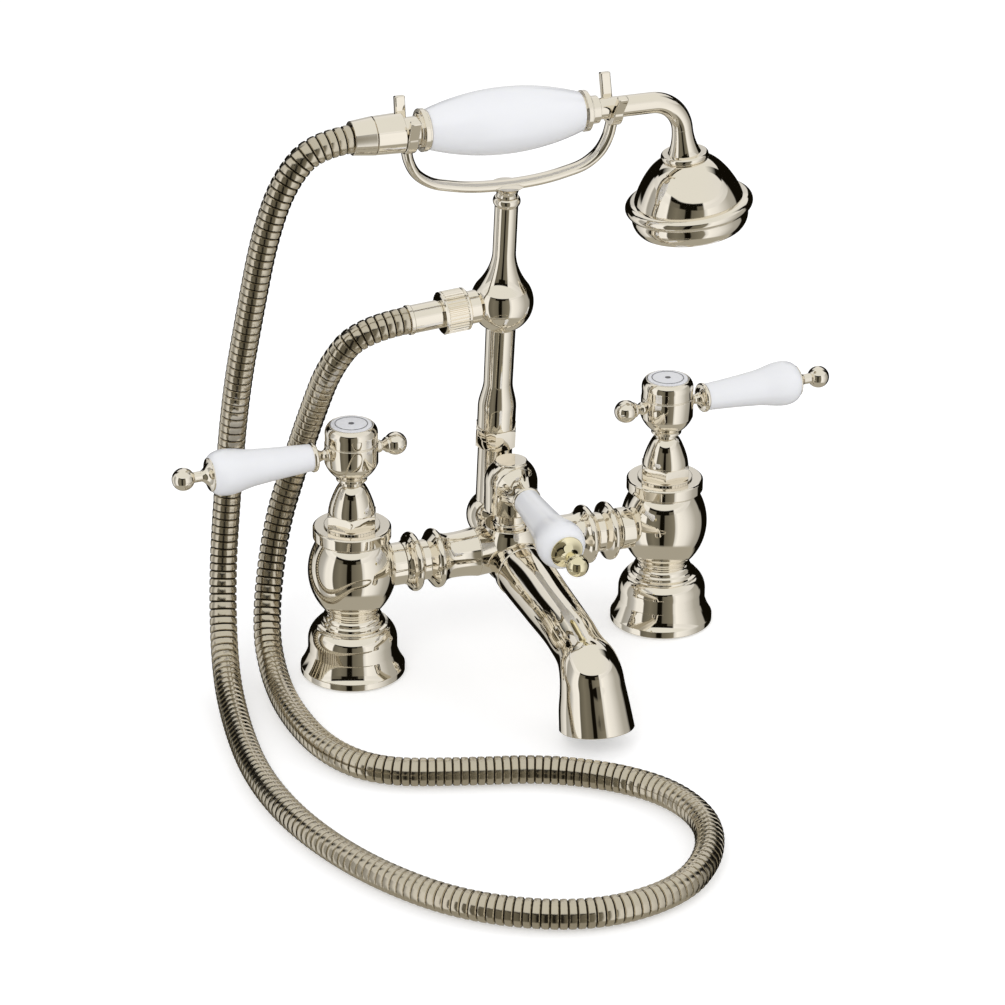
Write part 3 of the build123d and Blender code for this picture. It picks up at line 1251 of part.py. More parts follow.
def arm_union():
    """Stepped ring at the rose end of the porcelain, which joins the tube to the shower arm."""
    plane = section_plane_along(handset_plane(), -COLLAR_OUT + COLLAR_L + HANDGRIP_L)
    bore_r = HANDSET_TUBE_R + SLIP_GAP
    end = COLLAR_L + ARM_BOSS_L
    with BuildPart() as union:
        with BuildSketch(plane):
            band(bore_r, COLLAR_STEP_R, 0, COLLAR_STEP_L)
            band(bore_r, COLLAR_HEAD_R, COLLAR_STEP_L, COLLAR_L - COLLAR_STEP_L)
            band(bore_r, COLLAR_STEP_R, COLLAR_L - COLLAR_STEP_L, COLLAR_L)
            band(HANDSET_BORE_R + SHOWER_ARM_WALL + SLIP_GAP, ARM_BOSS_R, COLLAR_L, end)
        spin(plane)
    return union.part


def shower_arm():
    """Bent tube with a trumpet end, from the porcelain handle to the rose."""
    plane = handset_plane()
    rose = rose_plane()
    root = -COLLAR_OUT + 2 * COLLAR_L + HANDGRIP_L + ARM_BOSS_L
    spigot = root - ARM_BOSS_L + SLIP_GAP
    bend_plane = section_plane(plane, BEND_START)
    with BuildPart() as arm:
        drum(plane, 0, HANDSET_BORE_R + SHOWER_ARM_WALL, spigot, root)
        drum(plane, 0, SHOWER_ARM_R, root, BEND_START)
        with BuildLine():
            bend = ThreePointArc(*bend_points(plane))
        with BuildSketch(bend_plane):
            Circle(SHOWER_ARM_R)
        sweep(path=bend)
        with BuildSketch(rose):
            with BuildLine():
                Line((0, 0), (SHOWER_ARM_R, 0))
                bow((SHOWER_ARM_R, 0), (TRUMPET_R, TRUMPET_L), TRUMPET_SHARE)
                Polyline((TRUMPET_R, TRUMPET_L), (0, TRUMPET_L), (0, 0))
            make_face()
        spin(rose)
        with BuildSketch(bend_plane):
            Circle(HANDSET_BORE_R)
        sweep(path=bend, mode=Mode.SUBTRACT)
        drum(plane, 0, HANDSET_BORE_R, spigot - OVERRUN, BEND_START, Mode.SUBTRACT)
        drum(rose, 0, HANDSET_BORE_R, 0, TRUMPET_L + OVERRUN, Mode.SUBTRACT)
    return arm.part


def bend_points(plane):
    """Start, middle and end of the shower arm's bend."""
    points = []
    for turn in (0, radians(BEND_TURN / 2), radians(BEND_TURN)):
        shift = Vector(BEND_START + BEND_R * sin(turn), 0, -BEND_R * (1 - cos(turn)))
        points.append(plane.origin + shift)
    return points


def rose_ring():
    """Ring nut that holds the rose on the trumpet end of the arm."""
    plane = rose_plane()
    with BuildPart() as ring:
        with BuildSketch(plane):
            with BuildLine():
                Polyline((TRUMPET_R + SLIP_GAP, ROSE_RING_LOW), (ROSE_RING_R, ROSE_RING_LOW))
                bow((ROSE_RING_R, ROSE_RING_LOW), (ROSE_RING_R, ROSE_RING_HIGH), -ROSE_RING_SHARE)
                Polyline((ROSE_RING_R, ROSE_RING_HIGH), (HANDSET_BORE_R, ROSE_RING_HIGH),
                         (HANDSET_BORE_R, TRUMPET_L), (TRUMPET_R + SLIP_GAP, TRUMPET_L),
                         (TRUMPET_R + SLIP_GAP, ROSE_RING_LOW))
            make_face()
        spin(plane)
    return ring.part


def rose_dome():
    """Thin bell of the rose: a round shoulder and a skirt that widens a little."""
    plane = rose_plane()
    rim_top = RIM_DROP - RIM_HALF_T
    top = ROSE_RING_HIGH
    inner_top = top + ROSE_WALL
    shoulder_in = DOME_SHOULDER_R - ROSE_WALL
    skirt_in = DOME_SKIRT_R - ROSE_WALL
    with BuildPart() as dome:
        with BuildSketch(plane):
            with BuildLine():
                Polyline((HANDSET_BORE_R, inner_top), (HANDSET_BORE_R, top), (DOME_TOP_R, top))
                bow((DOME_TOP_R, top), (DOME_SHOULDER_R, DOME_SHOULDER_DROP), -DOME_CROWN_SHARE)
                Line((DOME_SHOULDER_R, DOME_SHOULDER_DROP), (DOME_SKIRT_R, rim_top))
                Polyline((DOME_SKIRT_R, rim_top), (skirt_in, rim_top), (shoulder_in, DOME_SHOULDER_DROP))
                bow((shoulder_in, DOME_SHOULDER_DROP), (DOME_TOP_R, inner_top), DOME_CROWN_SHARE)
                Line((DOME_TOP_R, inner_top), (HANDSET_BORE_R, inner_top))
            make_face()
        spin(plane)
    return dome.part


def rose_rim():
    """Lower half of the rose: a round bead, then a bowl that curves in to the spray face."""
    plane = rose_plane()
    inner = DOME_SKIRT_R - ROSE_WALL
    top = RIM_DROP - RIM_HALF_T
    low = RIM_DROP + RIM_HALF_T
    flat = RIM_R - RIM_HALF_T
    edge = ROSE_FACE_R + ROSE_WALL
    ledge = ROSE_FACE_DROP - FACE_SET_IN - FACE_PLATE_T
    lip = ROSE_FACE_R - ROSE_WALL
    with BuildPart() as rim:
        with BuildSketch(plane):
            with BuildLine():
                Line((inner, top), (flat, top))
                ThreePointArc((flat, top), (RIM_R, RIM_DROP), (flat, low))
                bow((flat, low), (edge, ROSE_FACE_DROP), -BOWL_CROWN_SHARE)
                Polyline((edge, ROSE_FACE_DROP), (ROSE_FACE_R, ROSE_FACE_DROP), (ROSE_FACE_R, ledge),
                         (lip, ledge), (lip, ledge - ROSE_WALL), (inner, low), (inner, top))
            make_face()
        spin(plane)
    return rim.part


def rose_face():
    """Spray plate with rings of small holes."""
    plane = rose_plane()
    top = ROSE_FACE_DROP - FACE_SET_IN - FACE_PLATE_T
    with BuildPart() as face:
        with BuildSketch(section_plane(plane, top)):
            Circle(ROSE_FACE_R - SLIP_GAP)
            for ring, count in enumerate(NOZZLE_COUNTS):
                with PolarLocations(ring * NOZZLE_RING_STEP, count):
                    Circle(NOZZLE_R, mode=Mode.SUBTRACT)
        extrude(amount=FACE_PLATE_T)
    return face.part


def hose_nut():
    """Conical nut that holds the hose on the handset."""
    plane = handset_plane()
    top = -INLET_OUT - NUT_GAP
    end = top - NUT_L
    lip = -INLET_OUT - NUT_THREAD_L
    spigot_r = NUT_SPIGOT_R + SLIP_GAP
    throat_r = HOSE_R + RUN_GAP
    with BuildPart() as nut:
        with BuildSketch(plane):
            with BuildLine():
                Polyline((throat_r, end), (NUT_END_R, end), (NUT_R, top), (spigot_r, top),
                         (spigot_r, lip), (throat_r, lip), (throat_r, end))
            make_face()
        spin(plane)
    return nut.part


def hose_route():
    """Start and end lie on the nut's and the sleeve's axes; the rest lies as the hose fell."""
    inlet = handset_plane()
    outlet = outlet_plane()
    start = -INLET_OUT - NUT_THREAD_L
    end = OUTLET_NECK_REACH + KNURL_L + 2 * SLIP_GAP + TAIL_L
    return [inlet.origin + inlet.y_dir * start,
            inlet.origin + inlet.y_dir * (start - HOSE_LEAD),
            *[Vector(*point) for point in HOSE_POINTS],
            outlet.origin + outlet.y_dir * (end + HOSE_LEAD),
            outlet.origin + outlet.y_dir * end]


def bend_radii(points):
    radii = []
    for before, corner, after in zip(points, points[1:], points[2:]):
        half_turn = radians((corner - before).get_angle(after - corner) / 2)
        run = min((corner - before).length, (after - corner).length)
        radii.append(HOSE_BEND_SHARE * run / tan(half_turn))
    return radii


def hose():
    """Bored tube of rolled ribs, in one loft through four circles for each rib."""
    points = hose_route()
    with BuildPart() as tube:
        with BuildLine():
            path = FilletPolyline(*points, radius=bend_radii(points))
        circles = rib_circles(path)
        for plane, radius in circles:
            with BuildSketch(plane):
                Circle(radius)
        loft(ruled=True)
        mouth, mouth_r = circles[0]
        with BuildSketch(mouth):
            Circle(HOSE_BORE_R)
        sweep(path=path, mode=Mode.SUBTRACT)
    return tube.part


def rib_circles(path):
    """Planes and radii from end to end of the path; the X axes turn no more than the path does."""
    radii = (HOSE_GROOVE_R, HOSE_R, HOSE_R, HOSE_GROOVE_R)
    first, last = HOSE_RIB_SHARES[0], HOSE_RIB_SHARES[-1]
    span = HOSE_RIBS - 1 + last - first
    across = (path % 0).cross(Vector(0, 1, 0))
    circles = []
    for rib in range(HOSE_RIBS):
        for share, radius in zip(HOSE_RIB_SHARES, radii):
            reach = (rib + share - first) / span
            along = path % reach
            across = along.cross(across).cross(along).normalized()
            circles.append((Plane(origin=path @ reach, x_dir=across, z_dir=along), radius))
    return circles


def write(name, part):
    part.label = name
    export_step(part, f"parts/{name}.step")


os.makedirs("parts", exist_ok=True)

for side in SIDES:
    seat = pillar_valve_plane(side)
    spindle_top = LEVER_H + HEAD_SOCKET_ABOVE - (PILLAR_TOP - VALVE_L)
    write(f"{side}_base", bell_base(side))
    write(f"{side}_pillar", pillar(side))
    write(f"{side}_arm", side_arm(side))
    write(f"{side}_valve", valve(seat, VALVE_L, PILLAR_GLAND_L))
    write(f"{side}_moving_disc", moving_disc(seat))
    write(f"{side}_spindle", spindle(seat, spindle_top))
    write(f"{side}_bonnet", bonnet(side))
    write(f"{side}_head", lever_head(side))
    write(f"{side}_screw", head_screw(side))
    write(f"{side}_index", index_disc(side))
    write(f"{side}_finial", finial(side))

for name in (*SIDES, "diverter"):
    write(f"{name}_stem", lever_stem(name))
    write(f"{name}_grip", lever_grip(name))
    write(f"{name}_tip", lever_tip(name))

seat = diverter_valve_plane()
write("diverter_valve", valve(seat, DIVERTER_VALVE_L, DIVERTER_GLAND_L))
write("diverter_moving_disc", moving_disc(seat))
write("diverter_spindle", spindle(seat, DIVERTER_SOCKET_H - seat.origin.Z))

SINGLES = (seals, washers, fixed_discs, cross_body, spout, flow_straightener, diverter_bonnet,
           diverter_head, diverter_button, riser, union_nut, column, knurled_nut, hose_tail, cradle,
           handset_inlet, grip_collar, handset_grip, arm_union, shower_arm, rose_ring, rose_dome,
           rose_rim, rose_face, hose_nut, hose)
for make in SINGLES:
    write(make.__name__, make())
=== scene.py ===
import json
import math
import bpy
from mathutils import Matrix, Vector


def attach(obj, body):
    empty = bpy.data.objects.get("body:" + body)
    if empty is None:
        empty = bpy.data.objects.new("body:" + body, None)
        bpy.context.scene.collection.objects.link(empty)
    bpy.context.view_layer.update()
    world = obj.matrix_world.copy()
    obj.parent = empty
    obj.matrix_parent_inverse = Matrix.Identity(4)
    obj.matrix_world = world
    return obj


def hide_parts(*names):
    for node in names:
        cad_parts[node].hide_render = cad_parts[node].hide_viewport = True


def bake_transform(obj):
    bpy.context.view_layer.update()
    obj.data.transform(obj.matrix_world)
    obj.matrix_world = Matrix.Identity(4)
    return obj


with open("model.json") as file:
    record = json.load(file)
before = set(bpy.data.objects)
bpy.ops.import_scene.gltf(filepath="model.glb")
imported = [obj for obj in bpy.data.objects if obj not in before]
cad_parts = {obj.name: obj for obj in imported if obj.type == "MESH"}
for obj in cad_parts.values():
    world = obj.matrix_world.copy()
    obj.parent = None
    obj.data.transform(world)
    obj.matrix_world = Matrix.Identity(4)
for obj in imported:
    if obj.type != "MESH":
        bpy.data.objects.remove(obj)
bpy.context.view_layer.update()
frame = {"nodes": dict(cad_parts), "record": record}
MM = 0.001

# Camera as fitted to the photograph
CAMERA_AZIMUTH = math.radians(-21.69)
CAMERA_ELEVATION = math.radians(24.64)
CAMERA_ROLL = math.radians(0.63)
CAMERA_DISTANCE = 2.07614
CAMERA_TARGET = Vector((-0.00469, 0, 0.08511))
CAMERA_LENS = 139.05
CAMERA_SENSOR = 36
CAMERA_SIGHT = 20

# Places shared by several pieces, in mm
PILLAR_X = 90.0
SPOUT_HEIGHT = 54.2
ARM_HEIGHT = 58.8
FLANGE_TOP = 85.7
DIVERTER_HEIGHT = 97
LEVER_HEIGHT = 128.5
RISER_FOOT = Vector((0, 27.2, 66))
RISER_LEAN = math.radians(5.1)
RISER_UP = Vector((0, -math.sin(RISER_LEAN), math.cos(RISER_LEAN)))
TEE_REACH = 129.0
CRADLE_REACH = 196.4
HANDSET_REACH = 233.0
OUTLET_DIP = math.radians(4.0)
OUTLET = Vector((-math.cos(OUTLET_DIP), 0, -math.sin(OUTLET_DIP)))
SPOUT_DIP = math.radians(5.6)
SPOUT_OUT = Vector((0, -math.cos(SPOUT_DIP), -math.sin(SPOUT_DIP)))
LEVER_DIP = math.radians(4.9)
DIVERTER_OUT = Vector((0, -math.cos(LEVER_DIP), -math.sin(LEVER_DIP)))
HOT_TURN = math.radians(182.9)
COLD_TURN = math.radians(3.9)
TEE = RISER_FOOT + RISER_UP * TEE_REACH
HANDSET = RISER_FOOT + RISER_UP * HANDSET_REACH

# The hose, along the same points as its CAD tube; it starts and ends so far from HANDSET and TEE
HOSE_PITCH = 4.2
HOSE_SIDES = 16
HOSE_START = 78.2
HOSE_END = 53.4
HOSE_LEAD = 26.0
HOSE_POINTS = (
    (-121.5, 9.5, 279),
    (-131.5, 12.5, 249),
    (-138, 17, 210),
    (-145, 24, 160),
    (-149, 29, 104),
    (-155, 23, 55),
    (-163, -4, 15),
    (-173, -55, 8),
    (-180, -113, 8),
    (-175, -168, 8),
    (-157, -222, 8),
    (-126, -268, 8),
    (-76, -296, 8),
    (-27, -290, 8),
    (3, -262, 8),
    (16, -226, 8),
    (5, -187, 8),
    (-34, -154, 8),
    (-80, -141, 8),
    (-120, -127, 8),
    (-138, -97, 8),
    (-142, -52, 8),
    (-137, -7, 8),
    (-133, 19, 26),
    (-121, 36, 72),
    (-109, 37, 108),
    (-101, 31, 139),
    (-94, 22, 168),
)


def srgb(red, green, blue):
    """A colour read as 8-bit sRGB, in linear light."""
    return tuple((c / 255 / 12.92) if c < 11 else ((c / 255 + 0.055) / 1.055) ** 2.4
                 for c in (red, green, blue))


# ---- finishes ----

def new_material(name):
    material = bpy.data.materials.new(name)
    material.use_nodes = True
    tree = material.node_tree
    return material, tree, tree.nodes["Principled BSDF"]


def add(tree, kind, links=(), **values):
    """A node with its properties set and its inputs linked or filled by name or index."""
    node = tree.nodes.new(kind)
    for name, value in values.items():
        setattr(node, name, value)
    for socket, source in dict(links).items():
        if isinstance(source, bpy.types.NodeSocket):
            tree.links.new(source, node.inputs[socket])
        else:
            node.inputs[socket].default_value = source
    return node


def noise(tree, scale, detail):
    """A noise that sits in the piece, so it doesn't slide when the piece moves."""
    coords = add(tree, "ShaderNodeTexCoord").outputs["Object"]
    pattern = add(tree, "ShaderNodeTexNoise", {"Vector": coords, "Scale": scale, "Detail": detail})
    return pattern.outputs["Fac"]


def tinted(tree, shader, pattern, colour, shade):
    """The base colour, down to the shade's share of it where the pattern is strong."""
    mix = add(tree, "ShaderNodeMix", {"Factor": pattern}, data_type="RGBA")
    mix.inputs["A"].default_value = (*colour, 1)
    mix.inputs["B"].default_value = (*(c * shade for c in colour), 1)
    tree.links.new(mix.outputs["Result"], shader.inputs["Base Color"])


def relief(tree, shader, pattern, strength, depth):
    bump = add(tree, "ShaderNodeBump", {"Height": pattern, "Strength": strength, "Distance": depth})
    tree.links.new(bump.outputs["Normal"], shader.inputs["Normal"])


def nickel(name, tint, roughness, wear=0.03):
    """Polished plate: almost a mirror, with faint polishing waves and a few dull wipes."""
    material, tree, shader = new_material(name)
    wipes = noise(tree, 42.0, 3.0)
    gloss = add(tree, "ShaderNodeMapRange", {"Value": wipes, "From Min": 0.35, "From Max": 0.75,
                                             "To Min": roughness, "To Max": roughness + wear})
    tree.links.new(gloss.outputs["Result"], shader.inputs["Roughness"])
    tinted(tree, shader, wipes, tint, 0.95)
    relief(tree, shader, noise(tree, 120.0, 2.0), 0.02, 0.0004)
    shader.inputs["Metallic"].default_value = 1.0
    return material


def porcelain(name, colour):
    """White glaze over fired clay: a clear coat, soft light inside and slight pooling."""
    material, tree, shader = new_material(name)
    tinted(tree, shader, noise(tree, 35.0, 2.0), colour, 0.965)
    relief(tree, shader, noise(tree, 260.0, 1.0), 0.03, 0.0003)
    shader.inputs["Roughness"].default_value = 0.2
    shader.inputs["Coat Weight"].default_value = 0.25
    shader.inputs["Coat Roughness"].default_value = 0.03
    shader.inputs["Subsurface Weight"].default_value = 0.15
    shader.inputs["Subsurface Radius"].default_value = (0.004, 0.004, 0.0035)
    shader.inputs["Subsurface Scale"].default_value = 1.0
    return material


def plain(name, colour, roughness, metallic=0.0, grain=0.0):
    """An unpolished or cast surface: fine grain in its colour and its relief."""
    material, tree, shader = new_material(name)
    pattern = noise(tree, 400.0, 4.0)
    tinted(tree, shader, pattern, colour, 0.85)
    relief(tree, shader, pattern, grain, 0.0003)
    shader.inputs["Roughness"].default_value = roughness
    shader.inputs["Metallic"].default_value = metallic
    return material


MATERIALS = {
    "nickel": nickel("polished_nickel", srgb(247, 241, 229), 0.02),
    "nickel_warm": nickel("warm_nickel", srgb(246, 238, 205), 0.025),
    "hose_metal": nickel("hose_nickel", srgb(210, 202, 185), 0.14, 0.06),
    # Painted shade: a dark metal for the hose's groove faces, standing in for the shadow in the recesses
    # between links
    "hose_groove_painted_shade": plain("hose_groove_painted_shade", srgb(46, 42, 34), 0.5, 1.0, 0.05),
    "porcelain": porcelain("white_porcelain", srgb(246, 247, 250)),
    "index_enamel": porcelain("index_enamel", srgb(240, 241, 245)),
    "mark_enamel": plain("grey_mark", srgb(96, 96, 100), 0.35),
    "valve_brass": plain("machined_brass", srgb(206, 170, 104), 0.28, 1.0, 0.1),
    "disc_ceramic": plain("ground_ceramic", srgb(232, 230, 222), 0.35),
    "seal_rubber": plain("black_rubber", srgb(28, 28, 30), 0.6, 0.0, 0.2),
    "washer_fibre": plain("pale_fibre", srgb(196, 190, 176), 0.6, 0.0, 0.2),
    "mesh_plastic": plain("grey_plastic", srgb(196, 197, 196), 0.4, 0.0, 0.1),
    "screw_steel": plain("stainless_steel", srgb(190, 190, 188), 0.3, 1.0, 0.1),
}


def dress_nodes():
    for part in frame["record"]["subparts"]:
        node = frame["nodes"][part["node"]]
        node.data.materials.clear()
        node.data.materials.append(MATERIALS[part["material_slot"]])


# ---- profiles, in mm: rows of (radius, height) from one end of a piece to the other ----

def bow(start, end, share, steps=12):
    """An arc from start to end, bulging to the left of its way by share of its chord."""
    a, b = Vector(start), Vector(end)
    chord = (b - a).length
    across = Vector((-(b - a).y, (b - a).x)).normalized()
    radius = chord * (0.25 + share * share) / (2 * abs(share))
    side = 1 if share > 0 else -1
    centre = (a + b) / 2 + across * (share * chord - side * radius)
    half = math.asin(min(1.0, chord / 2 / radius))
    rows = []
    for i in range(1, steps + 1):
        turn = (half - 2 * half * i / steps) * side
        spoke = across * side * radius
        rows.append(tuple(centre + Vector((spoke.x * math.cos(turn) - spoke.y * math.sin(turn),
                                           spoke.x * math.sin(turn) + spoke.y * math.cos(turn)))))
    return rows


def arc(start, middle, end, steps=24):
    """An arc through three rows, drawn as the bow of the circle that passes through them."""
    a, m, b = Vector(start), Vector(middle), Vector(end)
    chord = b - a
    across = Vector((-chord.y, chord.x)).normalized()
    off = (m - a).dot(across)
    along = (m - a).dot(chord.normalized())
    centre_off = (off * off - along * (chord.length - along)) / (2 * off)
    radius = math.hypot(chord.length / 2, centre_off)
    height = centre_off + radius if off > 0 else centre_off - radius
    return bow(start, end, height / chord.length, steps)


def leaving(t):
    """How much of its start a smooth step still has at t, and of the way it leaves in."""
    return 2 * t ** 3 - 3 * t * t + 1, t ** 3 - 2 * t * t + t


def arriving(t):
    """How much of its end a smooth step has at t, and of the way it arrives in."""
    return 3 * t * t - 2 * t ** 3, t ** 3 - t * t


def flow(points, first, last, steps=8):
    """A smooth curve through rows, leaving and arriving along the given directions."""
    places = [Vector(p) for p in points]
    ways = [Vector(first).normalized()]
    ways += [(after - before).normalized() for before, after in zip(places, places[2:])]
    ways.append(Vector(last).normalized())
    rows = []
    for a, b, way_a, way_b in zip(places, places[1:], ways, ways[1:]):
        reach = (b - a).length
        for k in range(1, steps + 1):
            (start, out), (end, into) = leaving(k / steps), arriving(k / steps)
            rows.append(tuple(a * start + way_a * reach * out + b * end + way_b * reach * into))
    return rows


def ball(radius, centre, start_radius, steps=20):
    """The rows of a ball from where it leaves a neck of start_radius up to its top."""
    first = math.asin(min(1.0, start_radius / radius))
    rows = []
    for i in range(1, steps + 1):
        turn = math.pi - first - (math.pi - first) * i / steps
        rows.append((radius * math.sin(turn) if i < steps else 0.0, centre + radius * math.cos(turn)))
    return rows


# A corner that turns by less than this is part of a curve
SHARP = math.radians(24)


def eased(rows, ease):
    """The rows with each sharp corner eased to a small round, and a row that holds the flat beside it."""
    out = [tuple(rows[0])]
    for before, at, after in zip(rows, rows[1:], rows[2:]):
        corner = Vector(at)
        into, onward = corner - Vector(before), Vector(after) - corner
        if into.length < 1e-6 or onward.length < 1e-6:
            continue
        if into.angle(onward) < SHARP:
            out.append(tuple(at))
            continue
        reach = min(ease, into.length * 0.4, onward.length * 0.4)
        into.normalize()
        onward.normalize()
        start, end = corner - into * reach, corner + onward * reach
        out.append(tuple(start - into * reach * 0.4))
        for t in (0.0, 0.25, 0.5, 0.75, 1.0):
            out.append(tuple(start * (1 - t) ** 2 + corner * 2 * t * (1 - t) + end * t * t))
        out.append(tuple(end + onward * reach * 0.4))
    out.append(tuple(rows[-1]))
    return out


# ---- making pieces ----

def only(piece):
    bpy.ops.object.select_all(action="DESELECT")
    piece.select_set(True)
    bpy.context.view_layer.objects.active = piece


def smooth(piece, angle=38):
    only(piece)
    bpy.ops.object.shade_smooth_by_angle(angle=math.radians(angle))


def apply_place(piece):
    only(piece)
    bpy.ops.object.transform_apply(location=True, rotation=True, scale=True)


def fill_ends():
    """In edit mode: the open ends are filled and every face looks outward."""
    bpy.ops.mesh.select_all(action="SELECT")
    bpy.ops.mesh.fill_holes(sides=0)
    bpy.ops.mesh.select_all(action="SELECT")
    bpy.ops.mesh.normals_make_consistent(inside=False)


def close_shell():
    bpy.ops.mesh.select_all(action="SELECT")
    bpy.ops.mesh.remove_doubles(threshold=1e-7)
    fill_ends()


def turned(name, rows, sides=96, ease=0.3):
    """A piece turned about the upright axis: a ring drawn out row by row, closed at both ends."""
    if ease:
        rows = eased(rows, ease)
    if rows[0][0] == 0:
        rows = rows[::-1] if rows[-1][0] > 0 else rows[1:]
    bpy.ops.object.select_all(action="DESELECT")
    bpy.ops.mesh.primitive_circle_add(vertices=sides, radius=rows[0][0] * MM,
                                      location=(0, 0, rows[0][1] * MM))
    piece = bpy.context.object
    piece.name = name
    bpy.ops.object.mode_set(mode="EDIT")
    for (r0, z0), (r1, z1) in zip(rows, rows[1:]):
        bpy.ops.mesh.extrude_region_move(TRANSFORM_OT_translate={"value": (0, 0, (z1 - z0) * MM)})
        if r1 < 0.001:
            bpy.ops.mesh.merge(type="CENTER")
        else:
            bpy.ops.transform.resize(value=(r1 / r0, r1 / r0, 1), center_override=(0, 0, z1 * MM))
    close_shell()
    bpy.ops.object.mode_set(mode="OBJECT")
    apply_place(piece)
    smooth(piece)
    return piece


def swept(name, stations, sides=64, flat=1.0, square=False):
    """A ring led through stations of (x, z, turn below the level, half thickness) in the upright
    XZ plane; its width across that plane is flat times its thickness."""
    x, z, turn, half = stations[0]
    bpy.ops.object.select_all(action="DESELECT")
    if square:
        bpy.ops.mesh.primitive_plane_add(size=2 * half * MM, location=(x * MM, 0, z * MM))
    else:
        bpy.ops.mesh.primitive_circle_add(vertices=sides, radius=half * MM, location=(x * MM, 0, z * MM))
    piece = bpy.context.object
    piece.name = name
    piece.scale = (1, flat, 1)
    piece.rotation_euler = (0, math.pi / 2 + turn, 0)
    apply_place(piece)
    bpy.ops.object.mode_set(mode="EDIT")
    if square:
        bpy.ops.mesh.delete(type="ONLY_FACE")
        bpy.ops.mesh.select_all(action="SELECT")
    for (x0, z0, t0, h0), (x1, z1, t1, h1) in zip(stations, stations[1:]):
        step, centre = ((x1 - x0) * MM, 0, (z1 - z0) * MM), (x1 * MM, 0, z1 * MM)
        bpy.ops.mesh.extrude_region_move(TRANSFORM_OT_translate={"value": step})
        if abs(t1 - t0) > 1e-9:
            bpy.ops.transform.rotate(value=-(t1 - t0), orient_axis="Y", center_override=centre)
        if abs(h1 / h0 - 1) > 1e-9:
            bpy.ops.transform.resize(value=(h1 / h0,) * 3, center_override=centre)
    close_shell()
    bpy.ops.object.mode_set(mode="OBJECT")
    smooth(piece)
    return piece


def apply_modifier(piece, kind, **values):
    only(piece)
    modifier = piece.modifiers.new("work", kind)
    for name, value in values.items():
        setattr(modifier, name, value)
    bpy.ops.object.modifier_apply(modifier="work")


def break_edges(piece, width, angle):
    apply_modifier(piece, "BEVEL", width=width * MM, segments=3, limit_method="ANGLE",
                   angle_limit=math.radians(angle))


def put(piece, place):
    """The piece goes to its place, and that place into its mesh."""
    piece.matrix_world = place
    apply_place(piece)
    return piece


def twin(piece, name):
    """A copy with its own mesh."""
    copy = piece.copy()
    copy.data = piece.data.copy()
    copy.name = name
    bpy.context.scene.collection.objects.link(copy)
    return copy


def toward(origin, axis):
    """The place where a piece's upright axis starts at origin and points along axis."""
    turn = Vector((0, 0, 1)).rotation_difference(Vector(axis))
    return Matrix.Translation(Vector(origin) * MM) @ turn.to_matrix().to_4x4()


def riser_place(reach):
    """The place at that reach up the leaning riser."""
    return Matrix.Translation((RISER_FOOT + RISER_UP * reach) * MM) @ Matrix.Rotation(RISER_LEAN, 4, "X")


def finish_piece(piece, body, material, *nodes, slot=None):
    """The piece gets its material, moves with its body and stands for its CAD nodes."""
    piece.data.materials.clear()
    piece.data.materials.append(MATERIALS[material])
    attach(piece, body)
    if nodes:
        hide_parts(*nodes)


def hand_out(side, body, copies):
    """A copy of each piece for one side, hot or cold, at its place and with its finish."""
    for piece, place, material, node in copies:
        finish_piece(put(twin(piece, f"{side}_{piece.name}"), place), body, material, f"{side}_{node}")


def remove(*pieces):
    for piece in pieces:
        bpy.data.objects.remove(piece)


HEX_TURN = math.radians(-21.7)
HEX_CHAMFER = 0.9
HEX_CHAMFER_IN = 1.44
HEX_EDGE = 0.25
SPARE = 4


def hexagon(name, across, low, high):
    """A hexagon nut between two heights, its corners chamfered by a turned blank."""
    corner = across / math.sqrt(3)
    face, side = corner - HEX_CHAMFER_IN, corner + 0.02
    nut = turned(name, [(0, low), (face, low), (side, low + HEX_CHAMFER), (side, high - HEX_CHAMFER),
                        (face, high), (0, high)], ease=0)
    bpy.ops.object.select_all(action="DESELECT")
    bpy.ops.mesh.primitive_cylinder_add(vertices=6, radius=corner * MM, depth=(high - low + SPARE) * MM,
                                        location=(0, 0, (low + high) / 2 * MM))
    cutter = bpy.context.object
    cutter.rotation_euler = (0, 0, HEX_TURN)
    apply_modifier(nut, "BOOLEAN", operation="INTERSECT", solver="EXACT", object=cutter)
    remove(cutter)
    break_edges(nut, HEX_EDGE, 28)
    smooth(nut, 32)
    return nut


def joined(name, *pieces):
    """Several shells made one piece."""
    bpy.ops.object.select_all(action="DESELECT")
    for piece in pieces:
        piece.select_set(True)
    bpy.context.view_layer.objects.active = pieces[0]
    bpy.ops.object.join()
    pieces[0].name = name
    return pieces[0]


# ---- the two pillars with their bases and arms ----

BASE_ROWS = (
    (25.6, 0), (28, 1.2), (28, 4.6), *bow((28, 4.6), (23.9, 14), 0.045), (23.9, 19.5),
    *flow([(23.9, 19.5), (23.0, 23.8), (20.9, 27.2), (19.3, 28.2)], (0, 1), (-1, 0.35), 5),
    (19.3, 29.1), (18.3, 29.3), (17.2, 29.5), (16.9, 31.0), (16.0, 31.9),
    *bow((16.0, 31.9), (13.7, 35.2), -0.16, 6), (13.7, 36.6),
)
PILLAR_ROWS = (
    (13.2, 33), (13.9, 35.8), (14.3, 37.2), *arc((14.3, 37.2), (23.6, 59.28), (18.2, 77.5), 32),
    (18.6, 78.2), (20.8, 79.3), (20.8, 84.9), (20.0, FLANGE_TOP), (0, FLANGE_TOP),
)
BRANCH_ROWS = ((10.4, 12), (11.4, 18), (11.4, 27.7), (9, 27.9))
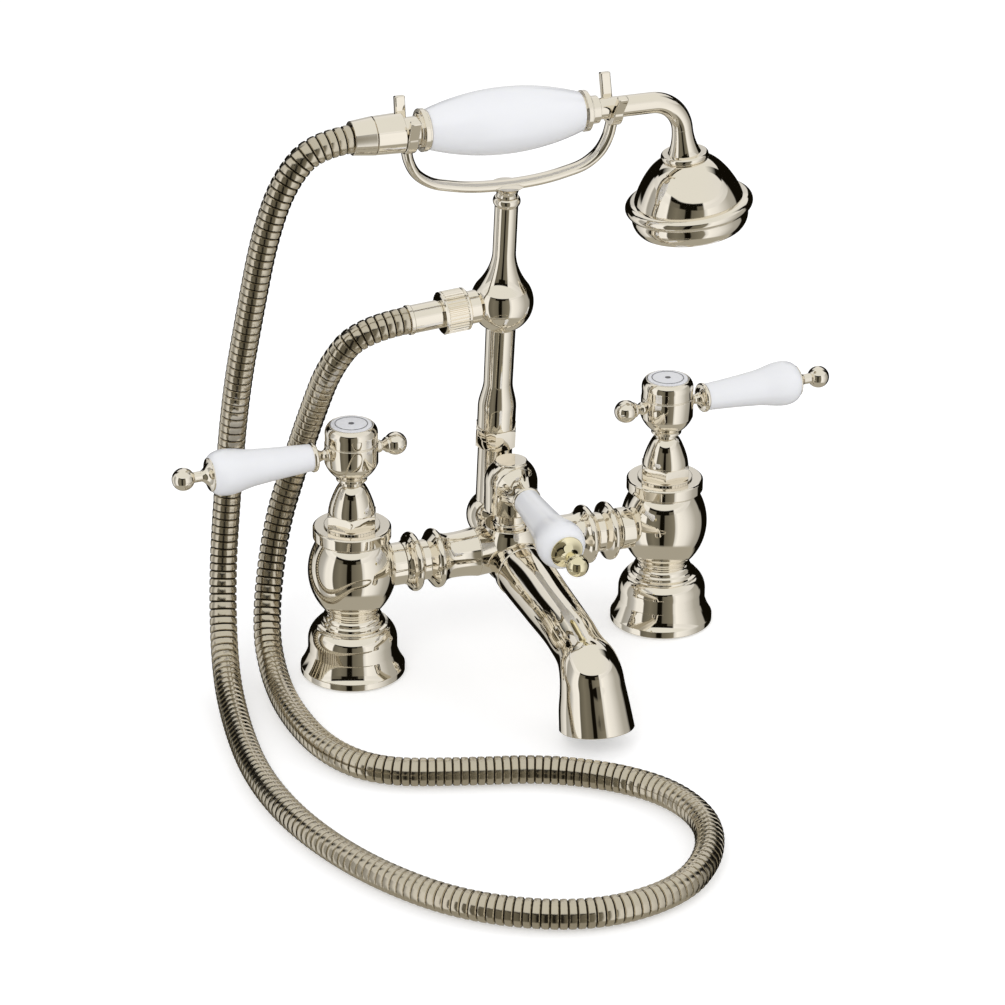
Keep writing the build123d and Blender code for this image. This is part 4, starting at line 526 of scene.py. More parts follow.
ARM_ROWS = (
    (9, 27.9), (11.4, 28), *bow((11.4, 28), (15.2, 31.8), 0.12, 6),
    *bow((15.2, 31.8), (15.2, 35.6), -0.25, 8), (10.8, 37.7), (10.8, 41.5), (15.2, 44.7),
    *bow((15.2, 44.7), (15.2, 48.5), -0.25, 8), *bow((15.2, 48.5), (12.2, 54.04), 0.12, 6),
    *bow((12.2, 54.04), (13.3, 69), 0.03, 8), (9, 69),
)
# The bonnet's rows count from the flange's top; its hexagon is measured across the flats
BONNET_HEX = 25
BONNET_HEX_LOW = 1
BONNET_HEX_HIGH = 8.2
SEAT_ROWS = ((0, -0.4), (14.9, -0.4), (14.9, 1.05), (0, 1.05))
ACORN_ROWS = (
    (12.2, 7), (12.4, 8.2),
    *flow([(12.4, 8.2), (11.9, 11.7), (10.9, 15), (9.6, 18.4), (8.3, 21.2), (6.9, 23.4)],
          (0, 1), (-1, 1.2), 5),
    (6.2, 24.1), (5.9, 24.1), (5.9, 22),
)


def make_pillars():
    base = turned("bell_base", BASE_ROWS)
    pillar = turned("pillar_bulb", PILLAR_ROWS)
    branch = turned("pillar_branch", BRANCH_ROWS)
    arm = turned("beaded_arm", ARM_ROWS)
    seat = turned("bonnet_seat", SEAT_ROWS)
    nut = hexagon("bonnet_hexagon", BONNET_HEX, BONNET_HEX_LOW, BONNET_HEX_HIGH)
    acorn = turned("bonnet_acorn", ACORN_ROWS)
    for way_out, side in ((-1, "hot"), (1, "cold")):
        foot = Matrix.Translation((way_out * PILLAR_X * MM, 0, 0))
        inward = toward((way_out * PILLAR_X, 0, ARM_HEIGHT), (-way_out, 0, 0))
        flange = Matrix.Translation(Vector((way_out * PILLAR_X, 0, FLANGE_TOP)) * MM)
        hand_out(side, "mixer", (
            (base, foot, "nickel", "base"), (pillar, foot, "nickel", "pillar"),
            (branch, inward, "nickel", "pillar"), (arm, inward, "nickel", "arm"),
            (seat, flange, "nickel", "bonnet"), (nut, flange, "nickel", "bonnet"),
            (acorn, flange, "nickel", "bonnet")))
    remove(base, pillar, branch, arm, seat, nut, acorn)


# ---- the cross body, its spout and the diverter's bonnet ----

SPOUT_STATIONS = (
    (16.3, 52.6, 5.6, 14.8),
    (22.8, 52.1, 5.6, 14.9),
    (53.9, 49.1, 5.6, 14.1),
    (87.0, 45.7, 7.0, 13.4),
    (100.5, 42.6, 16.0, 13.7),
    (108.9, 40.9, 38.5, 15.3),
    (114.0, 36.0, 53.0, 16.4),
    (116.6, 28.9, 63.0, 17.2),
    (118.9, 21.6, 71.5, 18.3),
    (123.4, 9.8, 79.0, 19.6),
)
SPOUT_WALL = 2.2
# Two rings round the mouth's brim, as steps from the last station: outward, up and thicker
BRIM_STEPS = ((0.08, -0.4, -0.35), (0.09, -0.45, -1.1))
COLLAR_ROWS = ((12, 16.4), (15.0, 16.4), (15.4, 17.2), (15.4, 20.6), (15.0, 21.4), (12, 21.4))
CORE_ROWS = ((0, 40.2), (8.2, 40.2), *arc((8.2, 40.2), (16.6, 54.5), (14, 72.6), 28), (0, 72.6))
BARREL_ROWS = ((9, -21), (13.3, -21), *bow((13.3, -21), (13.3, 21), 0.02), (9, 21))
STUB_ROWS = ((9, 6), (14.6, 6), (14.6, 16.4), (9, 16.4))
BACK_ROWS = ((9.8, 4), (9.8, 17.5), (6, 17.5))
BACK_HEIGHT = 63
NECK_ROWS = ((0, 72), (9.4, 72.2), (9.4, 73.6), (8.6, 74.4), (8.6, 82.4), (0, 82.4))


def between(stations, steps):
    """Stations of a smooth way through the given ones."""
    out = [stations[0]]
    last = len(stations) - 1
    for i, (a, b) in enumerate(zip(stations, stations[1:])):
        before = stations[i - 1] if i else a
        after = stations[i + 2] if i + 1 < last else b
        here = math.hypot(b[0] - a[0], b[1] - a[1])
        behind = max(math.hypot(a[0] - before[0], a[1] - before[1]), 1e-9)
        ahead = max(math.hypot(after[0] - b[0], after[1] - b[1]), 1e-9)
        for k in range(1, steps + 1):
            (start, out_of), (end, into) = leaving(k / steps), arriving(k / steps)
            row = []
            for p, q, r, s in zip(before, a, b, after):
                leave = arrive = r - q
                if i:
                    leave = ((r - q) * behind / here + (q - p) * here / behind) / (here + behind) * here
                if i + 1 < last:
                    arrive = ((r - q) * ahead / here + (s - r) * here / ahead) / (here + ahead) * here
                row.append(q * start + leave * out_of + r * end + arrive * into)
            out.append(tuple(row))
    return out


def make_spout():
    outer = [(x, z, math.radians(turn), half) for x, z, turn, half in between(SPOUT_STATIONS, 7)]
    inner = [(x, z, turn, half - SPOUT_WALL) for x, z, turn, half in outer]
    x, z, turn, half = outer[-1]
    brim = [(x + outward, z + up, turn, half + thicker) for outward, up, thicker in BRIM_STEPS]
    spout = swept("swan_spout", [*outer, *brim, *reversed(inner)], sides=96)
    finish_piece(put(spout, Matrix.Rotation(-math.pi / 2, 4, "Z")), "mixer", "nickel", "spout")
    collar = put(turned("spout_collar", COLLAR_ROWS), toward((0, 0, SPOUT_HEIGHT), SPOUT_OUT))
    finish_piece(collar, "mixer", "nickel", "spout")


def make_cross_body():
    core = turned("cross_core", CORE_ROWS)
    barrel = put(turned("cross_barrel", BARREL_ROWS), toward((0, 0, ARM_HEIGHT), (1, 0, 0)))
    stub = put(turned("cross_stub", STUB_ROWS), toward((0, 0, SPOUT_HEIGHT), SPOUT_OUT))
    neck = put(turned("cross_neck", BACK_ROWS), toward((0, 0, BACK_HEIGHT), (0, 1, 0)))
    finish_piece(joined("cross_shell", core, barrel, stub, neck), "mixer", "nickel", "cross_body")
    finish_piece(turned("diverter_neck", NECK_ROWS), "mixer", "nickel", "diverter_bonnet")


# ---- the levers; their rows count from where the head's and the lever's axes cross ----

HEAD_ROWS = (
    (0, -24), (5.9, -24), (5.9, -16.4), (8.2, -16.2), (8.4, -14.4), (9.0, -13.6),
    *bow((9.0, -13.6), (14.2, -6.2), -0.07, 10), (14.2, 4.6), (13.6, 4.7), (13.6, 5.2), (13.9, 5.4),
    (13.9, 9.2), *bow((13.9, 9.2), (11.9, 15), -0.13, 8), (11.1, 15), (11.1, 13), (0, 13),
)
INDEX_ROWS = ((0, 12.9), (10.9, 12.9), (10.9, 15.1), (10.5, 15.4), (0, 15.55))
RING_ROWS = ((8.7, 15.47), (8.7, 15.56), (8.3, 15.56), (8.3, 15.47), (8.7, 15.47))
DOT_ROWS = ((1.5, 15.5), (1.5, 15.62), (1.2, 15.66), (0, 15.68))
STEM_ROWS = (
    (4, 13.6), (4, 14.3), *bow((4, 14.3), (2.7, 17), 0.2, 6), *bow((2.7, 17), (7.3, 20.6), 0.18, 8),
    (8, 21.3), (8, 22.5), (7.3, 23.3), (5, 23.3),
)
FINIAL_ROWS = (
    (3.4, 13.6), (3.4, 14.3), *bow((3.4, 14.3), (2.3, 17.1), -0.2, 6), (4.2, 19.5), (4.2, 20.34),
    *ball(6.2, 24.9, 4.2),
)


GRIP_LENGTH = 55.3


def make_grip(name, foot, widest):
    """A porcelain lever grip from its foot outward, at its widest shortly before its end."""
    top = foot + GRIP_LENGTH
    rows = flow([(7.2, foot), (9.6, foot + 31.52), (widest, foot + 47.83), (8.8, top)],
                (0.06, 1), (-1, 0.5), 14)
    return turned(name, [(7.2, foot), *rows, (6, top)], ease=0)


def make_tip(name, foot):
    """A metal cap from its foot outward, with a thin neck and a ball."""
    cap = bow((8.8, foot + 0.7), (2.8, foot + 5), 0.12, 8)
    return turned(name, [(8.8, foot - 0.2), (8.8, foot + 0.7), *cap, (2.8, foot + 9.49),
                         *ball(6, foot + 14.8, 2.8)])


def make_levers():
    head = turned("lever_head", HEAD_ROWS)
    index = turned("lever_index", INDEX_ROWS)
    stem = turned("lever_stem", STEM_ROWS)
    finial = turned("lever_finial", FINIAL_ROWS)
    grip = make_grip("lever_grip", 23.2, 12.1)
    tip = make_tip("lever_tip", 78.5)
    for way_out, turn, side in ((-1, HOT_TURN, "hot"), (1, COLD_TURN, "cold")):
        top = Vector((way_out * PILLAR_X, 0, LEVER_HEIGHT))
        out = Vector((math.cos(turn), math.sin(turn), 0))
        upright, outward = Matrix.Translation(top * MM), toward(top, out)
        body = side + "_lever"
        hand_out(side, body, (
            (head, upright, "nickel", "head"), (index, upright, "index_enamel", "index"),
            (finial, toward(top, -out), "nickel", "finial"), (stem, outward, "nickel", "stem"),
            (grip, outward, "porcelain", "grip"), (tip, outward, "nickel", "tip")))
        # A thin printed ring with a dot on the white index
        for mark in (turned(side + "_index_ring", RING_ROWS, ease=0),
                     turned(side + "_index_dot", DOT_ROWS, sides=32, ease=0)):
            finish_piece(put(mark, upright), body, "mark_enamel", slot="index_enamel")
    remove(head, index, stem, finial, grip, tip)


DOME_R = 14.3
DOME_TOP = 11.27
DOME_STEPS = 14
BOSS_ROWS = ((11.8, 2), (11.8, 9), *bow((11.8, 9), (7, 21.2), 0.05, 8), (0, 21.2))
BUTTON_ROWS = ((0, 11.2), (8.8, 11.2), (8.8, 12.0), (8.3, 12.47), (0, 12.6))
LEVER_COLLAR_ROWS = ((5, 21.2), (7.3, 21.2), (8, 21.9), (8, 23.1), (7.3, 23.9), (5, 23.9))


def make_diverter():
    pivot = Vector((0, 0, DIVERTER_HEIGHT))
    upright, outward = Matrix.Translation(pivot * MM), toward(pivot, DIVERTER_OUT)
    heights = [DOME_TOP * i / DOME_STEPS for i in range(1, DOME_STEPS + 1)]
    dome = [(math.sqrt(DOME_R * DOME_R - height * height), height) for height in heights]
    shell = turned("diverter_dome", [(0, -16), (DOME_R - 0.9, -16), (DOME_R, -15.1), (DOME_R, 0), *dome,
                                     (0, DOME_TOP)])
    boss = turned("diverter_boss", BOSS_ROWS)
    head = joined("diverter_shell", put(shell, upright), put(boss, outward))
    finish_piece(head, "diverter_lever", "nickel", "diverter_head")
    button = turned("diverter_cap", BUTTON_ROWS)
    finish_piece(put(button, upright), "diverter_lever", "nickel", "diverter_button")
    collar = turned("diverter_collar", LEVER_COLLAR_ROWS)
    finish_piece(put(collar, outward), "diverter_lever", "nickel", "diverter_stem")
    grip = make_grip("diverter_lever_grip", 23.8, 12.9)
    finish_piece(put(grip, outward), "diverter_lever", "porcelain", "diverter_grip")
    tip = make_tip("diverter_lever_tip", 79.1)
    finish_piece(put(tip, outward), "diverter_lever", "nickel_warm", "diverter_tip", slot="nickel")


# ---- the riser, column and hose outlet ----

RISER_R = 9.3
ELBOW_R = 14
UNION_HEX = 21.2
UNION_LOW = 44.05
UNION_HIGH = 55.2
COLUMN_ROWS = (
    (8, 55.3), (10.3, 55.3), (10.3, 66.5), *flow([(10.3, 66.5), (7.8, 81.5)], (0, 1), (0, 1), 12),
    (8, 114.23), *arc((8, 114.23), (16.8, TEE_REACH), (14.25, 137.9), 28),
    *flow([(14.25, 137.9), (6.2, 158)], (-0.8, 1), (0, 1), 14), (6.2, 184.8),
    *arc((6.2, 184.8), (7.3, 187.3), (6.2, 189.8), 10), (0, 189.8),
)
NUT_ROWS = (
    (7, 20.3), (10.7, 20.3), (11.4, 20.9), (11.4, 21.9), (11.0, 22.2), (11.4, 22.5), (11.4, 32.7),
    (11.0, 33.0), (11.4, 33.3), (11.4, 34.3), (10.7, 34.9), (7, 34.9),
)
FERRULE_ROWS = ((6, 34.9), (7.5, 34.95), (7.5, 51.0), (8, 51.2), (8, 53.3), (7, HOSE_END))
# Between two heights of the nut, two of every four sides are pressed in to a share of their radius
KNURL_SIDES = 144
KNURL_LOW = 22.4
KNURL_HIGH = 32.8
KNURL_CREST = 11.2
KNURL_DEPTH = 0.925


def make_riser():
    elbow = [(radius, -height) for radius, height in ball(ELBOW_R, 0, RISER_R)]
    rows = [(7, 44), (RISER_R, 44), (RISER_R, 10.46), *elbow]
    finish_piece(put(turned("riser_ball", rows), riser_place(0)), "mixer", "nickel", "riser")
    nut = hexagon("union_hexagon", UNION_HEX, UNION_LOW, UNION_HIGH)
    finish_piece(put(nut, riser_place(0)), "mixer", "nickel", "union_nut")


def make_column():
    trunk = put(turned("column_trunk", COLUMN_ROWS), riser_place(0))
    outlet = put(turned("column_outlet", [(8.8, 10), (8.8, 20.2), (6, 20.2)]), toward(TEE, OUTLET))
    finish_piece(joined("column_shell", trunk, outlet), "mixer", "nickel", "column")


def make_knurled_nut():
    nut = turned("knurled_hose_nut", NUT_ROWS, sides=KNURL_SIDES, ease=0)
    only(nut)
    bpy.ops.object.mode_set(mode="EDIT")
    bpy.ops.mesh.select_all(action="DESELECT")
    bpy.ops.object.mode_set(mode="OBJECT")
    for vertex in nut.data.vertices:
        place = vertex.co / MM
        side = round(math.atan2(place.y, place.x) / (2 * math.pi) * KNURL_SIDES) % 4
        crest = math.hypot(place.x, place.y) > KNURL_CREST
        vertex.select = KNURL_LOW < place.z < KNURL_HIGH and side < 2 and crest
    middle = (KNURL_LOW + KNURL_HIGH) / 2
    bpy.ops.object.mode_set(mode="EDIT")
    bpy.ops.transform.resize(value=(KNURL_DEPTH, KNURL_DEPTH, 1), center_override=(0, 0, middle * MM))
    bpy.ops.object.mode_set(mode="OBJECT")
    smooth(nut, 24)
    finish_piece(put(nut, toward(TEE, OUTLET)), "mixer", "nickel", "knurled_nut")
    ferrule = put(turned("hose_ferrule", FERRULE_ROWS), toward(TEE, OUTLET))
    finish_piece(ferrule, "mixer", "nickel", "hose_tail")
    return nut, ferrule


# ---- the cradle and the handset on it ----

FORK_X = 56.8
CRADLE_BAR = (
    (-FORK_X, 26.8), (-55.3, 20.5), (-51.2, 12.8), (-43.5, 6.8), (-31, 3), (0, 0), (31, 3), (43.5, 6.8),
    (51.2, 13.2), (55.3, 21.5), (FORK_X, 28.6),
)
# Half the thickness of the bar and of the forks, and how far and how high a fork's prongs reach
BAR_HALF = 2.8
FORK_HALF = 1.7
FORK_SPREAD = 12.4
FORK_BACK = 9
FORK_FRONT = 13
FORK_LIP = 1.7


def way(points, half):
    """Stations along a line of (x, z) points in the upright plane, turned with it."""
    out = []
    for i, (x, z) in enumerate(points):
        x0, z0 = points[max(i - 1, 0)]
        x1, z1 = points[min(i + 1, len(points) - 1)]
        out.append((x, z, -math.atan2(z1 - z0, x1 - x0), half))
    return out


def make_fork(inner):
    """A flat bar bent into a fork whose round foot has the inner radius."""
    middle = inner + FORK_HALF
    foot = [math.pi * k / 16 for k in range(17)]
    line = [(-FORK_SPREAD - 0.5, FORK_BACK + FORK_LIP), (-FORK_SPREAD, FORK_BACK), (-middle - 0.2, 1.2),
            *((-middle * math.cos(t), -middle * math.sin(t)) for t in foot),
            (middle + 0.2, 1.2), (FORK_SPREAD, FORK_FRONT), (FORK_SPREAD + 0.4, FORK_FRONT + FORK_LIP)]
    fork = swept("cradle_fork", way(line, FORK_HALF), flat=1.65, square=True)
    break_edges(fork, 0.7, 40)
    smooth(fork, 40)
    return fork


def make_cradle():
    bar = swept("cradle_bar", way(between(CRADLE_BAR, 8), BAR_HALF), sides=40, flat=1.5)
    hollow = bow((5.6, 189.9), (9.0, CRADLE_REACH), 0.16, 10)
    neck = turned("cradle_neck", [(4, 189.9), (5.6, 189.9), *hollow, (6, CRADLE_REACH + 1)])
    pieces = [put(bar, riser_place(CRADLE_REACH)), put(neck, riser_place(0))]
    for x, inner in ((-FORK_X, 7.9), (FORK_X, 5.9)):
        turned_in = Matrix.Translation((x * MM, 0, 0)) @ Matrix.Rotation(math.pi / 2, 4, "Z")
        pieces.append(put(make_fork(inner), riser_place(HANDSET_REACH) @ turned_in))
    finish_piece(joined("cradle_yoke", *pieces), "yoke", "nickel", "cradle")


# Along the handset's axis, from where the column's axis meets it
HANDSET_PIECES = (
    ("handset_socket", "nickel", "handset_inlet",
     ((6, -HOSE_START), (8.3, -HOSE_START), (8.3, -75.2), (10, -75.2), (10.5, -60), (7.6, -60),
      (7.6, -51.2), (5, -51.2))),
    ("grip_rear_collar", "nickel", "grip_collar",
     ((7, -51.2), (9, -51.2), (9, -50), (11.2, -50), (11.2, -47.4), (10.4, -47.4), (10.4, -46.2),
      (7, -46.2))),
    ("porcelain_grip", "porcelain", "handset_grip",
     ((8, -46.2), (10.4, -46.1), *arc((10.4, -46.1), (17.3, -3.9), (10.4, 38.3), 40), (8, 38.4))),
    ("grip_front_union", "nickel", "arm_union",
     ((7, 38.4), (9, 38.4), (9, 39.6), (10.8, 39.6), (10.8, 42.2), (9, 42.2), (9, 43.4), (7.3, 43.4),
      (7.3, 48), (5, 48))),
    ("hose_nut_cone", "nickel", "hose_nut", ((7, -87.0), (8.8, -87.0), (10.05, -75.6), (7, -75.6))),
)
# The shower arm: where its bend starts, the bend's radius and turn, and the tube's radius
BEND_START = 79
BEND_R = 18
BEND_TURN = math.radians(83)
TUBE_R = 5.6
STRAIGHT = ((47, 0), (60, 0), (70, 0), (BEND_START, 0))
# Down the rose's axis from the end of the bend
TRUMPET_ROWS = ((4, 0), (TUBE_R, 0), *bow((TUBE_R, 0), (9.2, 14.5), 0.06, 10), (6, 14.5))
ROSE_PIECES = (
    ("rose_top_ring", "rose_ring",
     ((8, 13.6), (11.8, 13.6), *bow((11.8, 13.6), (11.8, 17.2), -0.25, 8), (8, 17.2))),
    ("rose_bell", "rose_dome",
     ((9, 17.2), (12.2, 17.2),
      *flow([(12.2, 17.2), (17.6, 20.8), (22.0, 25.8), (25.4, 31.2), (27.8, 36.2), (28.9, 39.8)],
            (1, 0.45), (0.2, 1), 7), (20, 39.8))),
    ("rose_rolled_rim", "rose_rim",
     ((24, 39.8), (30.6, 39.8), *arc((30.6, 39.8), (34, 43), (30.6, 46.2), 16),
      *bow((30.6, 46.2), (28.2, 56), -0.14, 8), (26.6, 56), (26.6, 52.3), (24, 52.3), (24, 39.8))),
)


def on_bend(turn):
    return BEND_START + BEND_R * math.sin(turn), -BEND_R * (1 - math.cos(turn))


def make_handset():
    for name, finish, node, rows in HANDSET_PIECES:
        finish_piece(put(turned(name, rows), toward(HANDSET, (1, 0, 0))), "handset", finish, node)
    line = [*STRAIGHT, *(on_bend(BEND_TURN * k / 20) for k in range(1, 21))]
    stations = way(line, TUBE_R)
    stations[-1] = (*line[-1], BEND_TURN, TUBE_R)
    tube = put(swept("bent_tube", stations), Matrix.Translation(HANDSET * MM))
    x, z = on_bend(BEND_TURN)
    down = toward(HANDSET + Vector((x, 0, z)), (math.cos(BEND_TURN), 0, -math.sin(BEND_TURN)))
    trumpet = put(turned("tube_trumpet", TRUMPET_ROWS), down)
    finish_piece(joined("shower_arm_tube", tube, trumpet), "handset", "nickel", "shower_arm")
    for name, node, rows in ROSE_PIECES:
        finish_piece(put(turned(name, rows), down), "handset", "nickel", node)


# ---- the hose ----

# One link's rows, as shares of the pitch and radii; the first lies in the groove, which is painted dark as
# shade
LINK_ROWS = ((0, 6.5), (0.1, 6.6), (0.17, 7.2), (0.5, 7.4), (0.88, 7.3), (1.0, 6.5))
# Faces nearer the axis than this radius get the dark metal: painted shade in the groove
GROOVE_SHADE_R = 6.62
LINK_MERGE = 0.02


def draw_route():
    """The smooth spline through the hose's points, and the places along it."""
    start, end = HANDSET + Vector((-HOSE_START, 0, 0)), TEE + OUTLET * HOSE_END
    route = [start, start + Vector((-HOSE_LEAD, 0, 0)), *[Vector(p) for p in HOSE_POINTS],
             end + OUTLET * HOSE_LEAD, end]
    curve = bpy.data.curves.new("hose_line", "CURVE")
    curve.dimensions = "3D"
    curve.resolution_u = 32
    spline = curve.splines.new("NURBS")
    spline.points.add(len(route) - 1)
    for place, point in zip(spline.points, route):
        place.co = (*(point * MM), 1)
    spline.order_u = 3
    spline.use_endpoint_u = True
    line = bpy.data.objects.new("hose_line", curve)
    bpy.context.scene.collection.objects.link(line)
    bpy.context.view_layer.update()
    measured = bpy.data.meshes.new_from_object(line.evaluated_get(bpy.context.evaluated_depsgraph_get()))
    path = [vertex.co.copy() for vertex in measured.vertices]
    bpy.data.meshes.remove(measured)
    return line, path


def make_hose():
    """Rolled metal links, one modelled and arrayed, led along the route."""
    line, path = draw_route()
    length = sum((after - before).length for before, after in zip(path, path[1:]))
    links = round(length / MM / HOSE_PITCH)
    pitch = length / MM / links
    hose = make_link(pitch)
    apply_modifier(hose, "ARRAY", fit_type="FIXED_COUNT", count=links, use_relative_offset=False,
                   use_constant_offset=True, constant_offset_displace=(pitch * MM, 0, 0),
                   use_merge_vertices=True, merge_threshold=LINK_MERGE * MM)
    apply_modifier(hose, "CURVE", object=line, deform_axis="POS_X")
    remove(line)
    only(hose)
    bpy.ops.object.mode_set(mode="EDIT")
    fill_ends()
    bpy.ops.object.mode_set(mode="OBJECT")
    smooth(hose, 28)
    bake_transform(hose)
    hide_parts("hose")
    return hose, path, length


def make_link(pitch):
    """One link along X, from its groove over its rolled crest to the next groove."""
    rows = [(share * pitch, radius) for share, radius in LINK_ROWS]
    bpy.ops.object.select_all(action="DESELECT")
    bpy.ops.mesh.primitive_circle_add(vertices=HOSE_SIDES, radius=rows[0][1] * MM, location=(0, 0, 0),
                                      rotation=(0, math.pi / 2, 0))
    link = bpy.context.object
    link.name = "ribbed_hose"
    apply_place(link)
    bpy.ops.object.mode_set(mode="EDIT")
    for (x0, r0), (x1, r1) in zip(rows, rows[1:]):
        bpy.ops.mesh.extrude_region_move(TRANSFORM_OT_translate={"value": ((x1 - x0) * MM, 0, 0)})
        bpy.ops.transform.resize(value=(1, r1 / r0, r1 / r0), center_override=(x1 * MM, 0, 0))
    bpy.ops.object.mode_set(mode="OBJECT")
    link.data.materials.append(MATERIALS["hose_metal"])
    link.data.materials.append(MATERIALS["hose_groove_painted_shade"])
    # The groove faces take the second, dark material: painted shade between the links
    for face in link.data.polygons:
        gets_painted_shade = math.hypot(face.center.y, face.center.z) < GROOVE_SHADE_R * MM
        face.material_index = 1 if gets_painted_shade else 0
    return link


# ---- camera, floor, world and lamps ----

def add_camera():
    data = bpy.data.cameras.new("photo_camera")
    data.lens = CAMERA_LENS
    data.sensor_width = CAMERA_SENSOR
    data.clip_end = CAMERA_SIGHT
    camera = bpy.data.objects.new("photo_camera", data)
    sideways, level = math.sin(CAMERA_AZIMUTH), math.cos(CAMERA_AZIMUTH)
    back = Vector((sideways * math.cos(CAMERA_ELEVATION), -level * math.cos(CAMERA_ELEVATION),
                   math.sin(CAMERA_ELEVATION)))
    across = Vector((level, sideways, 0))
    up = back.cross(across)
    right = across * math.cos(CAMERA_ROLL) + up * math.sin(CAMERA_ROLL)
    top = -across * math.sin(CAMERA_ROLL) + up * math.cos(CAMERA_ROLL)
    turn = Matrix((right, top, back)).transposed().to_4x4()
    camera.matrix_world = Matrix.Translation(CAMERA_TARGET + back * CAMERA_DISTANCE) @ turn
    bpy.context.scene.collection.objects.link(camera)
    bpy.context.scene.camera = camera


FLOOR_SIZE = 9.0
FLOOR_WHITE = (0.82, 0.82, 0.82)
FLOOR_LIFT = 0.42


def add_floor():
    """Matt white floor that keeps the object's shadow; metal looks past it to the studio."""
    bpy.ops.object.select_all(action="DESELECT")
    bpy.ops.mesh.primitive_plane_add(size=FLOOR_SIZE, location=(0, 0, 0))
    floor = bpy.context.object
    floor.name = "floor"
    material = bpy.data.materials.new("floor_white")
    material.use_nodes = True
    tree = material.node_tree
    tree.nodes.clear()
    ray = add(tree, "ShaderNodeLightPath")
    matt = add(tree, "ShaderNodeBsdfDiffuse", {"Color": (*FLOOR_WHITE, 1)})
    lift = add(tree, "ShaderNodeMath", {0: ray.outputs["Is Camera Ray"], 1: FLOOR_LIFT},
               operation="MULTIPLY")
    glow = add(tree, "ShaderNodeEmission", {"Color": (1, 1, 1, 1), "Strength": lift.outputs[0]})
    both = add(tree, "ShaderNodeAddShader", {0: matt.outputs[0], 1: glow.outputs[0]})
    clear = add(tree, "ShaderNodeBsdfTransparent")
    seen = add(tree, "ShaderNodeMixShader", {0: ray.outputs["Is Glossy Ray"], 1: both.outputs[0],
                                             2: clear.outputs[0]})
    add(tree, "ShaderNodeOutputMaterial", {"Surface": seen.outputs[0]})
    floor.data.materials.append(material)


DAYLIGHT = (0.76, 0.76, 0.77)
WHITE = (1, 1, 1)
CREAM = (1.0, 0.985, 0.955)
STONE = (1.0, 0.965, 0.88)
TAUPE = (0.145, 0.132, 0.100)
SOOT = (0.005, 0.004, 0.002)
BEIGE = (0.405, 0.378, 0.315)
CEILING = (0.82, 0.81, 0.76)


def grey(share, colour=CREAM):
    return tuple(share * c for c in colour)


# Turn from the camera's side in degrees, to the image's right, and what stands there
BACK = (
    (-180, grey(0.66)), (-173, grey(0.6)), (-171, SOOT),
)
FRONT = (
    (-100, grey(0.36, STONE)), (-80, grey(0.5)), (-60, grey(0.94)), (-50, grey(1.0)),
    (-48, grey(0.85, TAUPE)), (-30, grey(1.35, TAUPE)), (-13, TAUPE), (-11, SOOT), (0, SOOT), (1.5, TAUPE),
    (27, grey(1.6, TAUPE)), (30, grey(0.75)), (37, grey(1.0)), (60, grey(0.84)), (92, grey(0.44, STONE)),
)
LOW_WALLS = (
    *BACK, (-139, SOOT), (-137, grey(0.5, STONE)), (-118, grey(0.72)), (-104, grey(0.88)), *FRONT,
    (115, grey(0.36, STONE)), (118, SOOT), (171, SOOT), (173, grey(0.6)), (179.9, grey(0.66)),
)
HIGH_WALLS = (
    *BACK, (-122, SOOT), (-120, grey(0.6)), (-104, grey(0.88)), *FRONT,
    (111, grey(0.4, STONE)), (114, SOOT), (171, SOOT), (173, grey(0.6)), (179.9, grey(0.66)),
)
FUNNEL = (
    *BACK, (-118, SOOT), (-116, grey(0.7)), (-60, grey(0.9)), (-50, grey(0.9)), (-48, TAUPE), (-26, TAUPE),
    (-24, SOOT), (13, SOOT), (15, TAUPE), (27, TAUPE), (30, grey(0.9)), (100, grey(0.7)),
    (109, grey(0.6)), (112, SOOT), (171, SOOT), (173, grey(0.7)), (179.9, grey(0.7)),
)
PELMET = (
    (-180, grey(0.8)), (-172, grey(0.8)), (-170, SOOT), (-118, SOOT), (-116, grey(0.75)),
    (-60, grey(0.95)), (-50, grey(0.95)), (-48, SOOT), (27, SOOT), (30, grey(0.95)), (109, grey(0.7)),
    (112, SOOT), (170, SOOT), (172, grey(0.8)), (179.9, grey(0.8)),
)
SKY = (
    (-180, grey(0.85)), (-150, grey(0.8)), (-132, grey(0.75)), (-130, SOOT), (-112, SOOT),
    (-110, grey(0.8)), (-50, CEILING), (30, CEILING), (104, grey(0.8)), (106, SOOT), (128, SOOT),
    (130, grey(0.75)), (150, grey(0.8)), (179.9, grey(0.85)),
)
# What lies over the low walls, and the sines of the elevations where it begins and is whole
LAYERS = (
    (HIGH_WALLS, -0.12, -0.04), (FUNNEL, 0.34, 0.355), (PELMET, 0.43, 0.44), (SKY, 0.485, 0.5),
)
CEILING_RISE = (0.62, 0.85)
TABLE_FALL = (-0.66, -0.72)
# Where the camera stands, as a share of the turn around the studio
CAMERA_SHARE = 0.19


